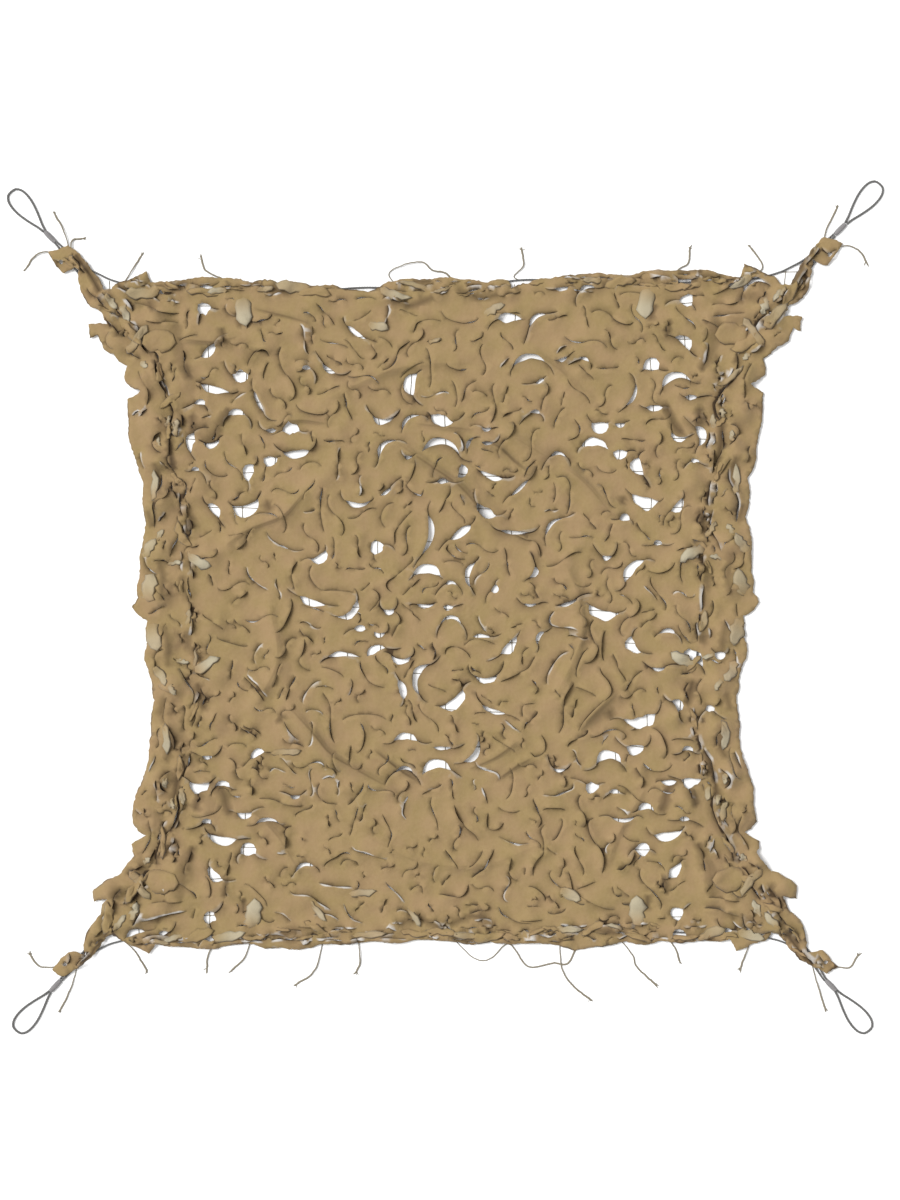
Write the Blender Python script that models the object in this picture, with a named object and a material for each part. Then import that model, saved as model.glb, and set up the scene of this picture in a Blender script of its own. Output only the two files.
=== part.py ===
"""A square of camouflage netting, laid flat on the ground.

An incised cloth lies on a knotted string net. A rope runs along each edge, and at each
corner the two ropes are whipped to a rope loop. Named sizes are in metres. The tables
give places and sizes in centimetres from the middle of the cloth, +X to the right and
+Y to the top edge.
"""

import math
from collections import namedtuple

import bmesh
import bpy
import numpy as np
from mathutils import Vector, noise
from mathutils.geometry import delaunay_2d_cdt

CM = 0.01
MIDDLE = (0.0, 0.0075)
GAP = 0.0003

STRING = 0.002
ROPE_DIAMETER = 0.005
EDGE_ROPE_SIDES = 6
EDGE_ROPE_HEIGHT = STRING + GAP + ROPE_DIAMETER / 2 * math.cos(math.pi / EDGE_ROPE_SIDES)
DRAPE_CLEARANCE = 0.002
CLOTH_THICKNESS = 0.0015
CLOTH_REST = STRING + GAP
CLOTH_OVER_ROPE = EDGE_ROPE_HEIGHT + ROPE_DIAMETER / 2 + DRAPE_CLEARANCE
ROPE_POINT_SPACING = 0.038
ROPE_LIFT_CORE = 0.026
ROPE_LIFT_REACH = 0.060
LATTICE = 0.070
LATTICE_JITTER = 0.010
JITTERS_PER_METRE = 9.0
EDGE_CLEARANCE = 0.016
ROPE_POINT_CLEARANCE = 0.005
ROPE_MARGIN = 0.024
LEAST_SPREAD = 0.034
CREST_SPACING = 0.055
PINCH_CORE = 0.005
PINCH_REACH = 0.027
PINCH_DEPTH = 0.8
RIPPLE = 0.005
RIPPLE_SHARE = 0.15
RIPPLES_PER_METRE = 14.0
NET_PITCH = 0.17
NET_LINES = 6
NET_REACH = 1.1
NET_SWAY = 0.024
LOOSE_END_SPACING = 0.030
MOST_MITRE = 2.0
LOOP_SIDES = 8
ROPE_PAIR_SPACING = 0.0062
ROPE_SEAT_GAP = 0.0007
LOOP_SPACING = 0.012
LOOP_HEIGHT = ROPE_DIAMETER / 2 * math.cos(math.pi / LOOP_SIDES)
WHIP_WIDTH = 0.013
WHIP_HEIGHT = 0.0096
WHIP_SIDES = 12

# The right-hand half is the left-hand half turned over, and lies a little higher up.
TWIN_SHIFT = -0.3
TWIN_LIFT_TOP = 2.0
TWIN_LIFT_BOTTOM = 0.6

Cut = namedtuple("Cut", "x y length width angle bend")
Fold = namedtuple("Fold", "path height reach")
Lump = namedtuple("Lump", "x y height reach")

# The left side of the cloth from the top corner's tab down to the bottom corner's tab.
LEFT_SIDE = (
    (-94.5, 91.6), (-99.4, 90.0), (-95.6, 84.6), (-91.9, 86.2), (-91.1, 79.8), (-88.8, 76.2),
    (-86.0, 74.8), (-84.6, 71.9), (-89.3, 71.9), (-89.0, 68.4), (-87.0, 69.2), (-85.4, 65.6),
    (-83.0, 64.5), (-79.6, 61.5), (-80.1, 57.6), (-76.3, 55.3), (-79.6, 53.1), (-79.3, 47.1),
    (-77.8, 39.0), (-75.6, 32.0), (-75.0, 22.3), (-76.6, 13.8), (-76.6, 8.5), (-76.9, 3.6),
    (-78.5, 1.3), (-74.6, -2.2), (-74.5, -7.3), (-75.4, -12.1), (-73.4, -18.0), (-72.8, -22.0),
    (-73.7, -29.0), (-74.3, -37.0), (-77.2, -45.0), (-78.0, -53.2), (-74.9, -55.8),
    (-78.6, -58.0), (-77.8, -60.8), (-81.5, -65.5), (-85.0, -67.0), (-87.9, -69.2),
    (-87.9, -72.4), (-84.5, -71.6), (-86.3, -75.6), (-89.8, -80.2), (-90.5, -85.5),
    (-94.3, -85.0), (-98.4, -89.3), (-95.4, -91.0),
)
# The top edge, left to right, between the two tabs.
TOP_EDGE = (
    (-90.3, 88.0), (-88.3, 85.0), (-85.7, 80.7), (-83.5, 80.6), (-82.0, 82.1), (-79.3, 82.9),
    (-74.8, 85.2), (-73.8, 82.3), (-65.6, 83.0), (-61.5, 83.6), (-55.4, 83.4), (-48.3, 82.3),
    (-41.5, 82.2), (-37.5, 82.5), (-31.5, 81.5), (-25.3, 80.6), (-19.5, 79.9), (-15.0, 82.2),
    (-10.3, 83.2), (-3.5, 83.1), (3.5, 83.1), (10.5, 82.3), (15.4, 82.9), (16.3, 80.8),
    (20.5, 82.0), (25.5, 83.3), (31.0, 84.3), (38.3, 84.8), (46.9, 84.3), (54.9, 85.3),
    (61.0, 85.4), (68.2, 84.5), (73.4, 83.6), (74.4, 87.1), (79.2, 84.8), (82.0, 83.9),
    (83.6, 81.8), (85.7, 81.6), (88.0, 85.4), (90.2, 88.9),
)
# The bottom edge, left to right, between the two tabs.
BOTTOM_EDGE = (
    (-90.3, -88.0), (-88.4, -86.2), (-86.8, -84.0), (-84.9, -81.2), (-83.3, -80.5),
    (-81.4, -81.8), (-79.0, -83.2), (-74.2, -85.4), (-72.6, -83.0), (-65.6, -83.6),
    (-58.0, -84.3), (-48.0, -82.9), (-41.5, -83.8), (-31.5, -83.0), (-24.0, -83.1),
    (-16.5, -82.4), (-8.0, -81.9), (3.5, -82.6), (11.0, -82.3), (18.5, -82.8), (26.5, -83.1),
    (32.0, -84.6), (39.5, -83.5), (45.0, -82.2), (53.0, -82.2), (58.5, -82.8), (66.0, -82.2),
    (70.8, -81.6), (72.4, -84.7), (76.8, -82.7), (79.8, -82.1), (81.2, -79.9), (83.0, -80.4),
    (85.6, -84.0), (88.2, -86.9),
)
TOP_ROPE = (
    (-90.6, 86.7), (-86.5, 84.3), (-82.8, 82.7), (-75.6, 81.1), (-61.5, 80.5),
    (-36.5, 80.0), (-20.0, 81.1), (0.0, 80.5),
)
LEFT_ROPE = (
    (-91.4, 84.0), (-85.0, 75.2), (-80.4, 71.4), (-74.3, 64.0), (-71.8, 57.8), (-68.5, 50.5),
    (-67.5, 35.5), (-65.8, 20.5), (-64.3, 0.5), (-62.5, -19.5), (-64.0, -32.0),
    (-67.0, -47.0), (-69.2, -54.5), (-74.0, -64.5), (-81.5, -73.6), (-90.4, -84.6),
)
BOTTOM_ROPE = (
    (-90.4, -86.8), (-86.5, -84.2), (-82.8, -82.6), (-75.6, -81.4),
    (-61.5, -80.8), (-36.5, -80.5), (0.0, -80.7),
)

# A cut's mouth, as shares of its length and width.
MOUTH = ((-0.5, 0.0), (-0.2, -0.5), (0.24, -0.42), (0.5, 0.0), (0.2, 0.5), (-0.24, 0.42))
# Cuts that stand open on both halves, where the right-hand one is the twin of the left.
TWIN_CUTS = (
    Cut(-59.8, 81.0, 3.5, 1.8, 0, 0.0), Cut(-60.1, 75.3, 3.4, 2.8, 20, 0.0),
    Cut(-59.3, 65.2, 5.0, 2.0, 45, 0.2), Cut(-51.4, 59.1, 3.9, 3.0, 0, 0.0),
    Cut(-57.7, 55.6, 7.5, 1.6, -15, 0.9), Cut(-61.5, 52.0, 3.0, 1.2, 0, 0.0),
    Cut(-52.4, 49.3, 4.3, 1.4, 0, 0.3), Cut(-58.5, 42.5, 4.3, 1.2, 15, -0.3),
    Cut(-46.8, 52.4, 6.5, 0.8, -65, 0.5), Cut(-63.4, 42.3, 5.2, 1.9, 80, 0.3),
    Cut(-38.7, 45.3, 4.3, 2.6, 0, 0.0), Cut(-43.7, 45.3, 2.6, 1.0, 0, 0.2),
    Cut(-43.8, 38.2, 3.6, 2.2, 0, 0.0), Cut(-37.5, 39.6, 6.8, 1.8, 5, 0.6),
    Cut(-48.9, 34.8, 4.5, 2.4, 75, 0.0), Cut(-50.0, 26.8, 6.8, 2.7, 15, 0.3),
    Cut(-58.0, 25.3, 4.6, 1.8, -50, 0.0), Cut(-61.6, -42.8, 5.0, 2.1, 0, 0.0),
    Cut(-55.9, -43.4, 4.0, 1.2, 0, 0.2), Cut(-50.3, -50.3, 4.0, 1.4, 0, 0.2),
    Cut(-44.5, -52.6, 6.0, 0.8, 0, 0.4), Cut(-59.8, -52.6, 2.8, 1.1, 0, 0.0),
    Cut(-56.0, -56.4, 7.5, 1.9, -10, 0.6), Cut(-49.3, -60.1, 3.8, 3.0, 0, 0.0),
    Cut(-57.5, -65.3, 5.0, 2.0, -48, 0.0), Cut(-58.8, -76.3, 3.2, 3.0, 0, 0.0),
    Cut(-58.6, -81.6, 3.6, 1.5, 0, 0.0), Cut(-96.2, 87.6, 1.0, 0.9, 0, 0.0),
    Cut(-95.2, -87.8, 1.0, 0.9, 0, 0.0), Cut(-77.2, 79.6, 6.0, 1.1, -24, 0.4),
    Cut(-71.8, 79.6, 2.6, 0.8, -10, 0.0), Cut(-77.6, -80.4, 5.0, 1.2, 18, -0.2),
    Cut(-70.6, -80.1, 2.4, 1.0, 10, 0.0),
)
# Cuts that stand open on one half only, from the top down.
SINGLE_CUTS = (
    Cut(28.8, 80.8, 3.8, 0.9, 5, 0.2), Cut(35.2, 80.6, 4.0, 0.9, 20, 0.0),
    Cut(22.8, 72.8, 5.5, 1.0, 40, 0.3), Cut(15.9, 73.3, 6.0, 2.0, 0, 0.0),
    Cut(-22.4, 69.6, 6.0, 1.0, -37, 0.3), Cut(29.0, 63.3, 2.6, 0.8, 20, 0.0),
    Cut(34.5, 63.0, 2.6, 0.8, -20, 0.0), Cut(20.5, 62.4, 8.5, 1.2, 10, 0.5),
    Cut(-34.9, 60.8, 2.2, 1.0, 0, 0.0), Cut(-29.3, 60.8, 4.0, 1.0, -35, 0.0),
    Cut(23.4, 57.6, 2.6, 0.8, 30, 0.0), Cut(-7.8, 56.9, 5.5, 2.6, 80, 0.3),
    Cut(22.2, 49.8, 2.6, 0.8, 0, 0.0), Cut(-15.7, 48.8, 5.5, 1.2, 0, -0.8),
    Cut(-1.0, 48.0, 6.0, 2.6, -20, 0.0), Cut(-8.9, 47.4, 6.0, 0.8, 40, 0.3),
    Cut(10.2, 46.0, 2.6, 0.8, 0, 0.0), Cut(10.4, 42.2, 3.0, 0.8, 0, 0.2),
    Cut(5.9, 42.2, 3.5, 0.8, 60, 0.0), Cut(-14.8, 40.8, 6.5, 1.0, 45, 0.4),
    Cut(-1.2, 40.4, 9.6, 1.4, -5, 0.7), Cut(-9.4, 38.9, 2.2, 0.8, 0, 0.0),
    Cut(28.0, 38.8, 4.0, 0.8, 0, 0.3), Cut(62.2, 37.6, 2.2, 0.9, 0, 0.0),
    Cut(3.6, 35.2, 3.5, 2.0, 75, 0.0), Cut(-62.6, 35.5, 2.2, 0.9, 0, 0.0),
    Cut(11.3, 34.1, 6.3, 1.2, -20, 0.4), Cut(-0.8, 32.5, 3.0, 1.2, 0, 0.0),
    Cut(18.4, 30.8, 6.6, 0.8, 43, 0.4), Cut(-15.0, 30.0, 3.5, 0.8, 35, 0.0),
    Cut(-21.9, 27.6, 6.5, 1.0, 0, -0.5), Cut(9.9, 25.3, 6.0, 2.2, -35, 0.0),
    Cut(44.6, 23.0, 2.6, 1.7, 0, 0.0), Cut(26.8, 21.5, 6.0, 0.8, 45, 0.3),
    Cut(17.2, 20.0, 7.2, 0.8, -3, 0.4), Cut(3.8, 19.6, 6.5, 1.8, 35, 0.4),
    Cut(-4.6, 19.1, 10.5, 1.2, 80, 0.8), Cut(52.9, 17.1, 2.2, 1.2, 0, 0.0),
    Cut(-16.8, 15.6, 3.3, 3.0, 45, 0.0), Cut(-31.7, 14.0, 4.5, 2.0, 30, 0.0),
    Cut(40.2, 14.0, 2.2, 1.0, 0, 0.0), Cut(46.9, 10.3, 7.5, 2.0, 48, 0.5),
    Cut(21.7, 10.0, 3.0, 1.2, 65, 0.0), Cut(-4.9, 9.2, 7.3, 2.1, 0, 0.9),
    Cut(6.6, 9.4, 6.6, 1.2, 75, 0.9), Cut(11.9, 6.0, 2.2, 1.5, 60, 0.0),
    Cut(1.2, 7.0, 2.8, 0.8, 0, 0.0), Cut(-33.3, 2.7, 7.0, 1.5, -20, 0.4),
    Cut(-24.6, 0.6, 7.0, 1.5, 37, -0.6), Cut(-14.3, 0.5, 2.6, 1.2, 0, 0.0),
    Cut(30.6, 2.2, 5.2, 0.8, 22, 0.3), Cut(39.4, 0.3, 8.0, 2.2, -15, 0.5),
    Cut(21.0, 2.0, 3.5, 0.6, 0, 0.0), Cut(-5.0, 1.8, 4.6, 0.8, 0, 0.3),
    Cut(0.6, 1.3, 2.6, 1.2, 0, 0.0), Cut(1.2, -2.8, 5.5, 0.8, 0, 0.9),
    Cut(-21.6, -4.2, 3.0, 1.5, 0, 0.0), Cut(-16.6, -5.2, 2.8, 1.0, 0, 0.0),
    Cut(8.9, -6.0, 4.5, 0.8, 0, -0.6), Cut(55.2, -5.3, 4.0, 1.0, 0, 0.2),
    Cut(23.5, -6.5, 4.0, 1.0, 65, 0.0), Cut(15.7, -8.3, 6.0, 2.0, 47, 0.3),
    Cut(47.2, -8.2, 5.0, 2.0, -60, 0.0), Cut(-17.6, -9.7, 5.0, 1.7, 25, 0.0),
    Cut(-25.7, -10.9, 8.0, 1.0, 0, -0.5), Cut(-11.2, -11.0, 5.2, 1.2, 0, -0.8),
    Cut(61.6, -12.2, 6.0, 2.5, -25, 0.0), Cut(68.4, -10.4, 2.8, 1.8, 0, 0.0),
    Cut(53.0, -14.0, 3.5, 0.8, 0, 0.2), Cut(-5.8, -16.6, 8.4, 1.5, 70, 0.9),
    Cut(9.9, -15.9, 6.0, 1.2, 0, -0.8), Cut(-11.2, -19.4, 5.2, 1.8, -75, 0.0),
    Cut(1.6, -22.0, 7.4, 2.3, 35, 0.3), Cut(11.8, -24.5, 6.6, 1.0, -20, 0.4),
    Cut(57.2, -23.4, 3.2, 1.8, -60, 0.0), Cut(65.9, -24.5, 2.2, 1.5, 0, 0.0),
    Cut(48.4, -26.6, 8.3, 2.5, 10, 0.4), Cut(-10.2, -31.9, 6.0, 1.5, 0, 0.4),
    Cut(47.2, -33.6, 4.5, 2.4, 0, 0.0), Cut(-0.8, -34.0, 4.8, 0.8, 0, 0.3),
    Cut(60.3, -34.5, 3.0, 1.0, 0, 0.0), Cut(6.6, -34.9, 6.8, 1.4, 55, 0.4),
    Cut(-47.1, -35.7, 4.0, 1.6, 30, 0.0), Cut(-59.6, -36.0, 2.6, 0.9, 0, 0.0),
    Cut(40.5, -37.4, 6.4, 2.0, 5, 0.4), Cut(28.3, -39.3, 3.0, 0.8, 0, 0.0),
    Cut(-2.4, -39.5, 7.3, 2.0, 8, 0.4), Cut(-10.4, -39.8, 4.4, 0.8, 0, 0.2),
    Cut(36.6, -43.4, 3.5, 2.3, 0, 0.0), Cut(42.0, -45.0, 2.8, 1.0, 0, 0.0),
    Cut(-37.6, -46.0, 2.6, 0.8, 0, 0.0), Cut(-35.5, -64.1, 5.0, 0.8, 20, 0.4),
)

# Main folds: ridges of the cloth, each a path with its height and half width.
FOLDS = (
    Fold(((-17.3, 45.0), (-6.0, 44.0), (7.8, 44.2), (20.0, 35.0)), 1.3, 3.5),
    Fold(((-12.0, 43.0), (-0.8, 36.4), (6.8, 29.6), (13.0, 21.0)), 2.2, 4.0),
    Fold(((14.5, 45.0), (24.3, 39.8), (34.5, 32.0), (42.5, 25.5)), 1.8, 3.5),
    Fold(((-49.0, 43.6), (-36.5, 42.4), (-27.3, 45.3)), 1.4, 3.5),
    Fold(((-55.5, 16.3), (-49.0, 21.4), (-42.5, 22.3), (-32.8, 32.0), (-28.5, 34.8)), 1.8, 4.0),
    Fold(((-39.8, -23.0), (-32.8, -30.5), (-27.8, -36.0), (-13.3, -44.3)), 1.7, 4.0),
    Fold(((-18.8, -34.5), (-6.8, -44.0)), 1.2, 3.5),
    Fold(((18.3, -31.3), (11.5, -39.5)), 1.3, 3.5),
    Fold(((42.3, -20.0), (33.0, -29.5)), 1.6, 4.0),
    Fold(((-92.0, 86.0), (-87.6, 80.0), (-80.0, 74.5), (-71.0, 71.5)), 2.4, 3.5),
    Fold(((-66.0, 69.5), (-50.0, 68.6), (-36.0, 71.0)), 1.5, 4.5),
    Fold(((90.6, 86.0), (86.6, 81.5), (79.6, 76.5), (70.6, 73.5)), 2.4, 3.5),
    Fold(((65.6, 71.5), (50.0, 70.8), (36.0, 69.5)), 1.5, 4.5),
    Fold(((-91.0, -85.6), (-87.0, -80.0), (-80.0, -77.5), (-70.0, -72.5)), 2.4, 3.5),
    Fold(((-66.0, -71.5), (-50.0, -69.6), (-36.0, -72.0)), 1.5, 4.5),
    Fold(((90.0, -85.0), (86.4, -79.6), (79.6, -77.0), (70.0, -72.0)), 2.4, 3.5),
    Fold(((66.0, -71.0), (50.0, -69.5), (36.0, -71.5)), 1.5, 4.5),
    Fold(((-30.0, 53.0), (-10.0, 62.5), (8.0, 65.5)), 1.2, 4.0),
    Fold(((-20.0, -58.0), (2.0, -63.5), (24.0, -60.0)), 1.2, 4.0),
    Fold(((30.0, 12.0), (33.5, -8.0), (27.0, -22.0)), 1.2, 4.0),
    Fold(((-44.0, 2.0), (-42.0, -12.0), (-48.0, -24.0)), 1.2, 4.0),
)
# Puffed lobes along the left-hand rope, outside it and inside it; the right has their twins.
SIDE_LUMPS = (
    Lump(-82.0, 67.2, 2.2, 4.5), Lump(-75.2, 57.0, 2.8, 4.5), Lump(-73.4, 48.0, 3.2, 5.0),
    Lump(-72.4, 38.0, 2.8, 5.0), Lump(-70.8, 27.5, 3.2, 5.0), Lump(-71.0, 16.0, 3.0, 5.0),
    Lump(-71.4, 5.0, 3.2, 5.5), Lump(-69.8, -7.0, 2.8, 5.0), Lump(-68.4, -18.5, 3.2, 5.0),
    Lump(-69.2, -30.0, 2.8, 5.0), Lump(-71.2, -41.0, 3.2, 5.0), Lump(-73.8, -51.5, 2.8, 4.5),
    Lump(-78.5, -62.5, 2.8, 4.5), Lump(-84.6, -69.8, 2.2, 4.0), Lump(-66.0, 57.5, 2.4, 5.0),
    Lump(-62.0, 47.2, 2.0, 4.5), Lump(-61.6, 31.0, 2.2, 5.0), Lump(-59.4, 14.0, 2.4, 5.5),
    Lump(-57.6, -3.0, 2.2, 5.5), Lump(-56.6, -15.0, 2.4, 5.5), Lump(-57.4, -27.0, 2.2, 5.0),
    Lump(-60.6, -48.0, 2.0, 4.5), Lump(-66.5, -65.5, 2.4, 5.0), Lump(-74.5, -74.8, 2.2, 4.5),
    Lump(-73.0, 73.8, 2.0, 5.0),
)
# Bunched cloth along the top and bottom edges: the middle of each bunch and its height.
EDGE_LUMPS = (
    Lump(-68.0, 80.0, 1.6, 4.0), Lump(-52.0, 79.6, 1.3, 4.5), Lump(-33.0, 78.8, 1.6, 4.5),
    Lump(-16.0, 79.6, 1.8, 5.0), Lump(-2.0, 79.8, 1.5, 4.0), Lump(14.0, 80.4, 1.8, 5.0),
    Lump(33.0, 81.4, 1.4, 4.5), Lump(52.0, 81.8, 1.6, 4.5), Lump(70.0, 82.2, 1.6, 4.0),
    Lump(-68.0, -80.4, 1.6, 4.0), Lump(-50.0, -80.0, 1.4, 4.5), Lump(-31.0, -80.2, 1.7, 4.5),
    Lump(-13.0, -79.6, 1.8, 5.0), Lump(5.0, -79.8, 1.5, 4.5), Lump(22.0, -80.0, 1.8, 5.0),
    Lump(40.0, -80.0, 1.5, 4.5), Lump(57.0, -80.0, 1.3, 4.0), Lump(70.0, -80.4, 1.6, 4.0),
)

# Loose string ends at the edges, each a path that starts under the cloth.
LOOSE_ENDS = (
    ((-93.0, 90.0), (-95.6, 95.5), (-97.7, 99.3)), ((-95.5, 88.2), (-100.3, 90.0),
                                                    (-103.2, 88.4), (-104.7, 86.2)),
    ((-92.0, 86.0), (-93.6, 92.4), (-91.0, 93.3)), ((-80.4, 81.6), (-78.8, 84.8), (-76.4, 88.8)),
    ((-52.0, 80.0), (-55.2, 83.0), (-60.0, 85.2), (-61.2, 88.0)),
    ((-12.0, 80.5), (-14.4, 84.4), (-11.5, 86.6), (-6.2, 87.6), (-3.4, 85.4), (0.2, 84.6),
     (2.0, 80.8)),
    ((18.0, 80.4), (17.0, 84.0), (19.3, 86.6), (19.0, 90.4)),
    ((55.0, 82.0), (58.0, 85.4), (60.5, 87.0), (61.0, 90.4)),
    ((74.0, 83.6), (79.0, 86.0), (76.2, 90.8)), ((94.6, 90.0), (95.2, 96.0), (97.6, 100.8)),
    ((96.0, 90.2), (100.3, 91.5), (103.4, 90.2), (104.9, 87.6)),
    ((-92.0, -88.0), (-94.2, -95.0), (-96.2, -99.2)),
    ((-93.6, -88.2), (-99.2, -88.8), (-101.8, -88.4), (-103.8, -86.0)),
    ((-80.0, -82.0), (-77.6, -84.8), (-75.0, -89.2)), ((-57.0, -81.5), (-59.5, -86.0),
                                                      (-59.6, -88.8)),
    ((-48.4, -81.0), (-50.5, -86.4), (-53.6, -89.4)),
    ((-30.2, -81.4), (-32.8, -89.2), (-37.2, -92.8)), ((-22.0, -81.0), (-21.6, -87.2),
                                                      (-22.4, -89.6)),
    ((1.0, -81.0), (7.2, -86.8), (11.4, -86.4), (15.6, -82.8), (20.4, -88.4), (26.4, -87.6),
     (30.4, -87.6), (33.6, -81.4)),
    ((29.0, -81.6), (28.9, -88.6), (31.8, -93.4), (36.0, -96.6)),
    ((42.2, -82.0), (46.2, -85.4), (47.6, -89.0), (52.0, -93.0)),
    ((54.0, -81.2), (57.2, -84.0), (58.2, -87.2)), ((76.0, -82.0), (73.8, -88.6)),
    ((91.0, -88.0), (93.2, -94.8), (94.6, -98.8)),
    ((93.0, -88.0), (98.0, -88.6), (100.8, -88.6), (102.6, -86.0)),
)

# Half of a corner loop: distance along the corner's diagonal from the whipping, and across it.
LOOP_RIGHT_SIDE = (
    (0.12, 0.28), (1.8, 0.65), (3.6, 1.25), (5.6, 1.85), (7.6, 2.3), (9.6, 2.45), (11.4, 2.2),
    (12.6, 1.45), (12.95, 0.6),
)
# A whipping's rings: the share of its length and how full it is there.
WHIP_RINGS = ((0.0, 0.78), (0.12, 0.95), (0.5, 1.0), (0.88, 0.92), (1.0, 0.74))
# The corners: where the whipping starts and ends, and the tip of the loop.
Corner = namedtuple("Corner", "name outer inner tip")
CORNERS = (
    Corner("top_left", (-100.3, 95.1), (-97.5, 92.3), (-109.4, 106.0)),
    Corner("top_right", (99.9, 97.1), (97.1, 94.3), (109.0, 107.8)),
    Corner("bottom_right", (97.4, -94.6), (94.9, -92.0), (106.4, -105.6)),
    Corner("bottom_left", (-98.9, -94.8), (-96.3, -92.0), (-108.2, -105.6)),
)

CLOTH_COLOUR = (0.413, 0.296, 0.138, 1.0)
NET_COLOUR = (0.42, 0.38, 0.27, 1.0)
ROPE_COLOUR = (0.24, 0.235, 0.23, 1.0)
WHIP_COLOUR = (0.42, 0.40, 0.41, 1.0)


def clear_scene():
    for old in list(bpy.data.objects):
        bpy.data.objects.remove(old, do_unlink=True)


def material(name, colour, roughness):
    made = bpy.data.materials.new(name)
    made.use_nodes = True
    shader = made.node_tree.nodes["Principled BSDF"]
    shader.inputs["Base Color"].default_value = colour
    shader.inputs["Roughness"].default_value = roughness
    made.diffuse_color = colour
    return made


def placed(point):
    """A table's place in centimetres as metres in the object's own frame."""
    return (point[0] * CM - MIDDLE[0], point[1] * CM - MIDDLE[1])


def twin(point):
    """The place on the right-hand half that answers to a place on the left."""
    share = min(max((point[1] + 90.0) / 180.0, 0.0), 1.0)
    lift = TWIN_LIFT_BOTTOM + (TWIN_LIFT_TOP - TWIN_LIFT_BOTTOM) * share
    return (-point[0] + TWIN_SHIFT, point[1] + lift)


def smooth_path(points, spacing):
    """Points every `spacing` along a Catmull-Rom curve through the given ones."""
    knots = [np.array(p, float) for p in points]
    knots = [2 * knots[0] - knots[1]] + knots + [2 * knots[-1] - knots[-2]]
    fine = []
    for a, b, c, d in zip(knots, knots[1:], knots[2:], knots[3:]):
        for t in np.linspace(0.0, 1.0, 16, endpoint=False):
            fine.append(
                0.5 * (2 * b + (c - a) * t + (2 * a - 5 * b + 4 * c - d) * t**2
                       + (3 * b - a - 3 * c + d) * t**3)
            )
    fine.append(knots[-2])
    fine = np.array(fine)
    run = np.concatenate([[0.0], np.cumsum(np.linalg.norm(np.diff(fine, axis=0), axis=1))])
    count = max(2, int(round(run[-1] / spacing)) + 1)
    stations = np.linspace(0.0, run[-1], count)
    return np.column_stack([np.interp(stations, run, fine[:, k]) for k in range(fine.shape[1])])


def corner_axes(corner):
    """The whipping's ends, the direction of the loop's tip and the direction across it."""
    outer = np.array(placed(corner.outer))
    inner = np.array(placed(corner.inner))
    tip = np.array(placed(corner.tip))
    along = (tip - outer) / np.linalg.norm(tip - outer)
    return outer, inner, along, np.array((along[1], -along[0]))


def rope_end(name, upright):
    """Where an edge rope leaves its whipping, beside the other rope, on the side it goes to."""
    corner = next(c for c in CORNERS if c.name == name)
    outer, inner, _, _ = corner_axes(corner)
    inward = (inner - outer) / np.linalg.norm(inner - outer)
    across = np.array((inward[1], -inward[0]))
    run = np.array((0.0, -inner[1]) if upright else (-inner[0], 0.0))
    side = math.copysign(ROPE_PAIR_SPACING / 2, float(np.dot(run, across)))
    start = inner + inward * ROPE_SEAT_GAP + across * side
    return [start, start + inward * ROPE_DIAMETER]


def rope_paths():
    """Each edge rope's centre line, from whipping to whipping, in metres."""
    right_rope = tuple(twin(p) for p in LEFT_ROPE)
    top = TOP_ROPE + tuple(twin(p) for p in reversed(TOP_ROPE[:-1]))
    bottom = BOTTOM_ROPE + tuple(twin(p) for p in reversed(BOTTOM_ROPE[:-1]))
    routes = (
        ("rope_top", "top_left", top, "top_right"),
        ("rope_bottom", "bottom_left", bottom, "bottom_right"),
        ("rope_left", "top_left", LEFT_ROPE, "bottom_left"),
        ("rope_right", "top_right", right_rope, "bottom_right"),
    )
    paths = {}
    for name, first, shape, last in routes:
        upright = name in ("rope_left", "rope_right")
        ends = rope_end(first, upright), rope_end(last, upright)
        points = ends[0] + [np.array(placed(p)) for p in shape] + ends[1][::-1]
        paths[name] = smooth_path(points, ROPE_POINT_SPACING)
    return paths


def outline_points():
    """The cloth's outline, anticlockwise from the top left tab."""
    right = [twin(p) for p in LEFT_SIDE]
    loop = list(LEFT_SIDE) + list(BOTTOM_EDGE) + right[::-1] + list(TOP_EDGE)[::-1]
    return np.array([placed(p) for p in loop])


def cut_polygon(cut):
    """A cut's open mouth: a lens with pointed ends, bent to one side."""
    turn = math.radians(cut.angle)
    points = []
    for along, side in MOUTH:
        x = along * cut.length
        y = side * cut.width + cut.bend * (1.0 - 4.0 * along * along)
        points.append((
            cut.x + x * math.cos(turn) - y * math.sin(turn),
            cut.y + x * math.sin(turn) + y * math.cos(turn),
        ))
    return np.array([placed(p) for p in points])


def open_cuts():
    cuts = list(TWIN_CUTS)
    for cut in TWIN_CUTS:
        x, y = twin((cut.x, cut.y))
        cuts.append(Cut(x, y, cut.length, cut.width, -cut.angle, cut.bend))
    return cuts + list(SINGLE_CUTS)


def nearest_on(path, point):
    """The place on a run of straight pieces that lies nearest to a point."""
    start = path[:-1]
    step = path[1:] - start
    along = np.clip(((point - start) * step).sum(1) / (step * step).sum(1), 0.0, 1.0)
    places = start + step * along[:, None]
    return places[int(np.argmin(((places - point) ** 2).sum(1)))]


def distance_to_path(point, path):
    """The shortest distance from a point to a run of straight pieces."""
    return float(np.linalg.norm(nearest_on(path, point) - point))


def inside(point, polygon):
    x, y = point
    ax, ay = polygon[:, 0], polygon[:, 1]
    bx, by = np.roll(ax, -1), np.roll(ay, -1)
    crossing = (ay > y) != (by > y)
    where = ax + (y - ay) * (bx - ax) / np.where(by == ay, 1e-12, by - ay)
    return bool(np.count_nonzero(crossing & (x < where)) % 2)


def bell(distance, reach):
    """1 at no distance, 0 at the reach, with a smooth slope between."""
    if distance >= reach:
        return 0.0
    return 0.5 + 0.5 * math.cos(math.pi * distance / reach)


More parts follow.
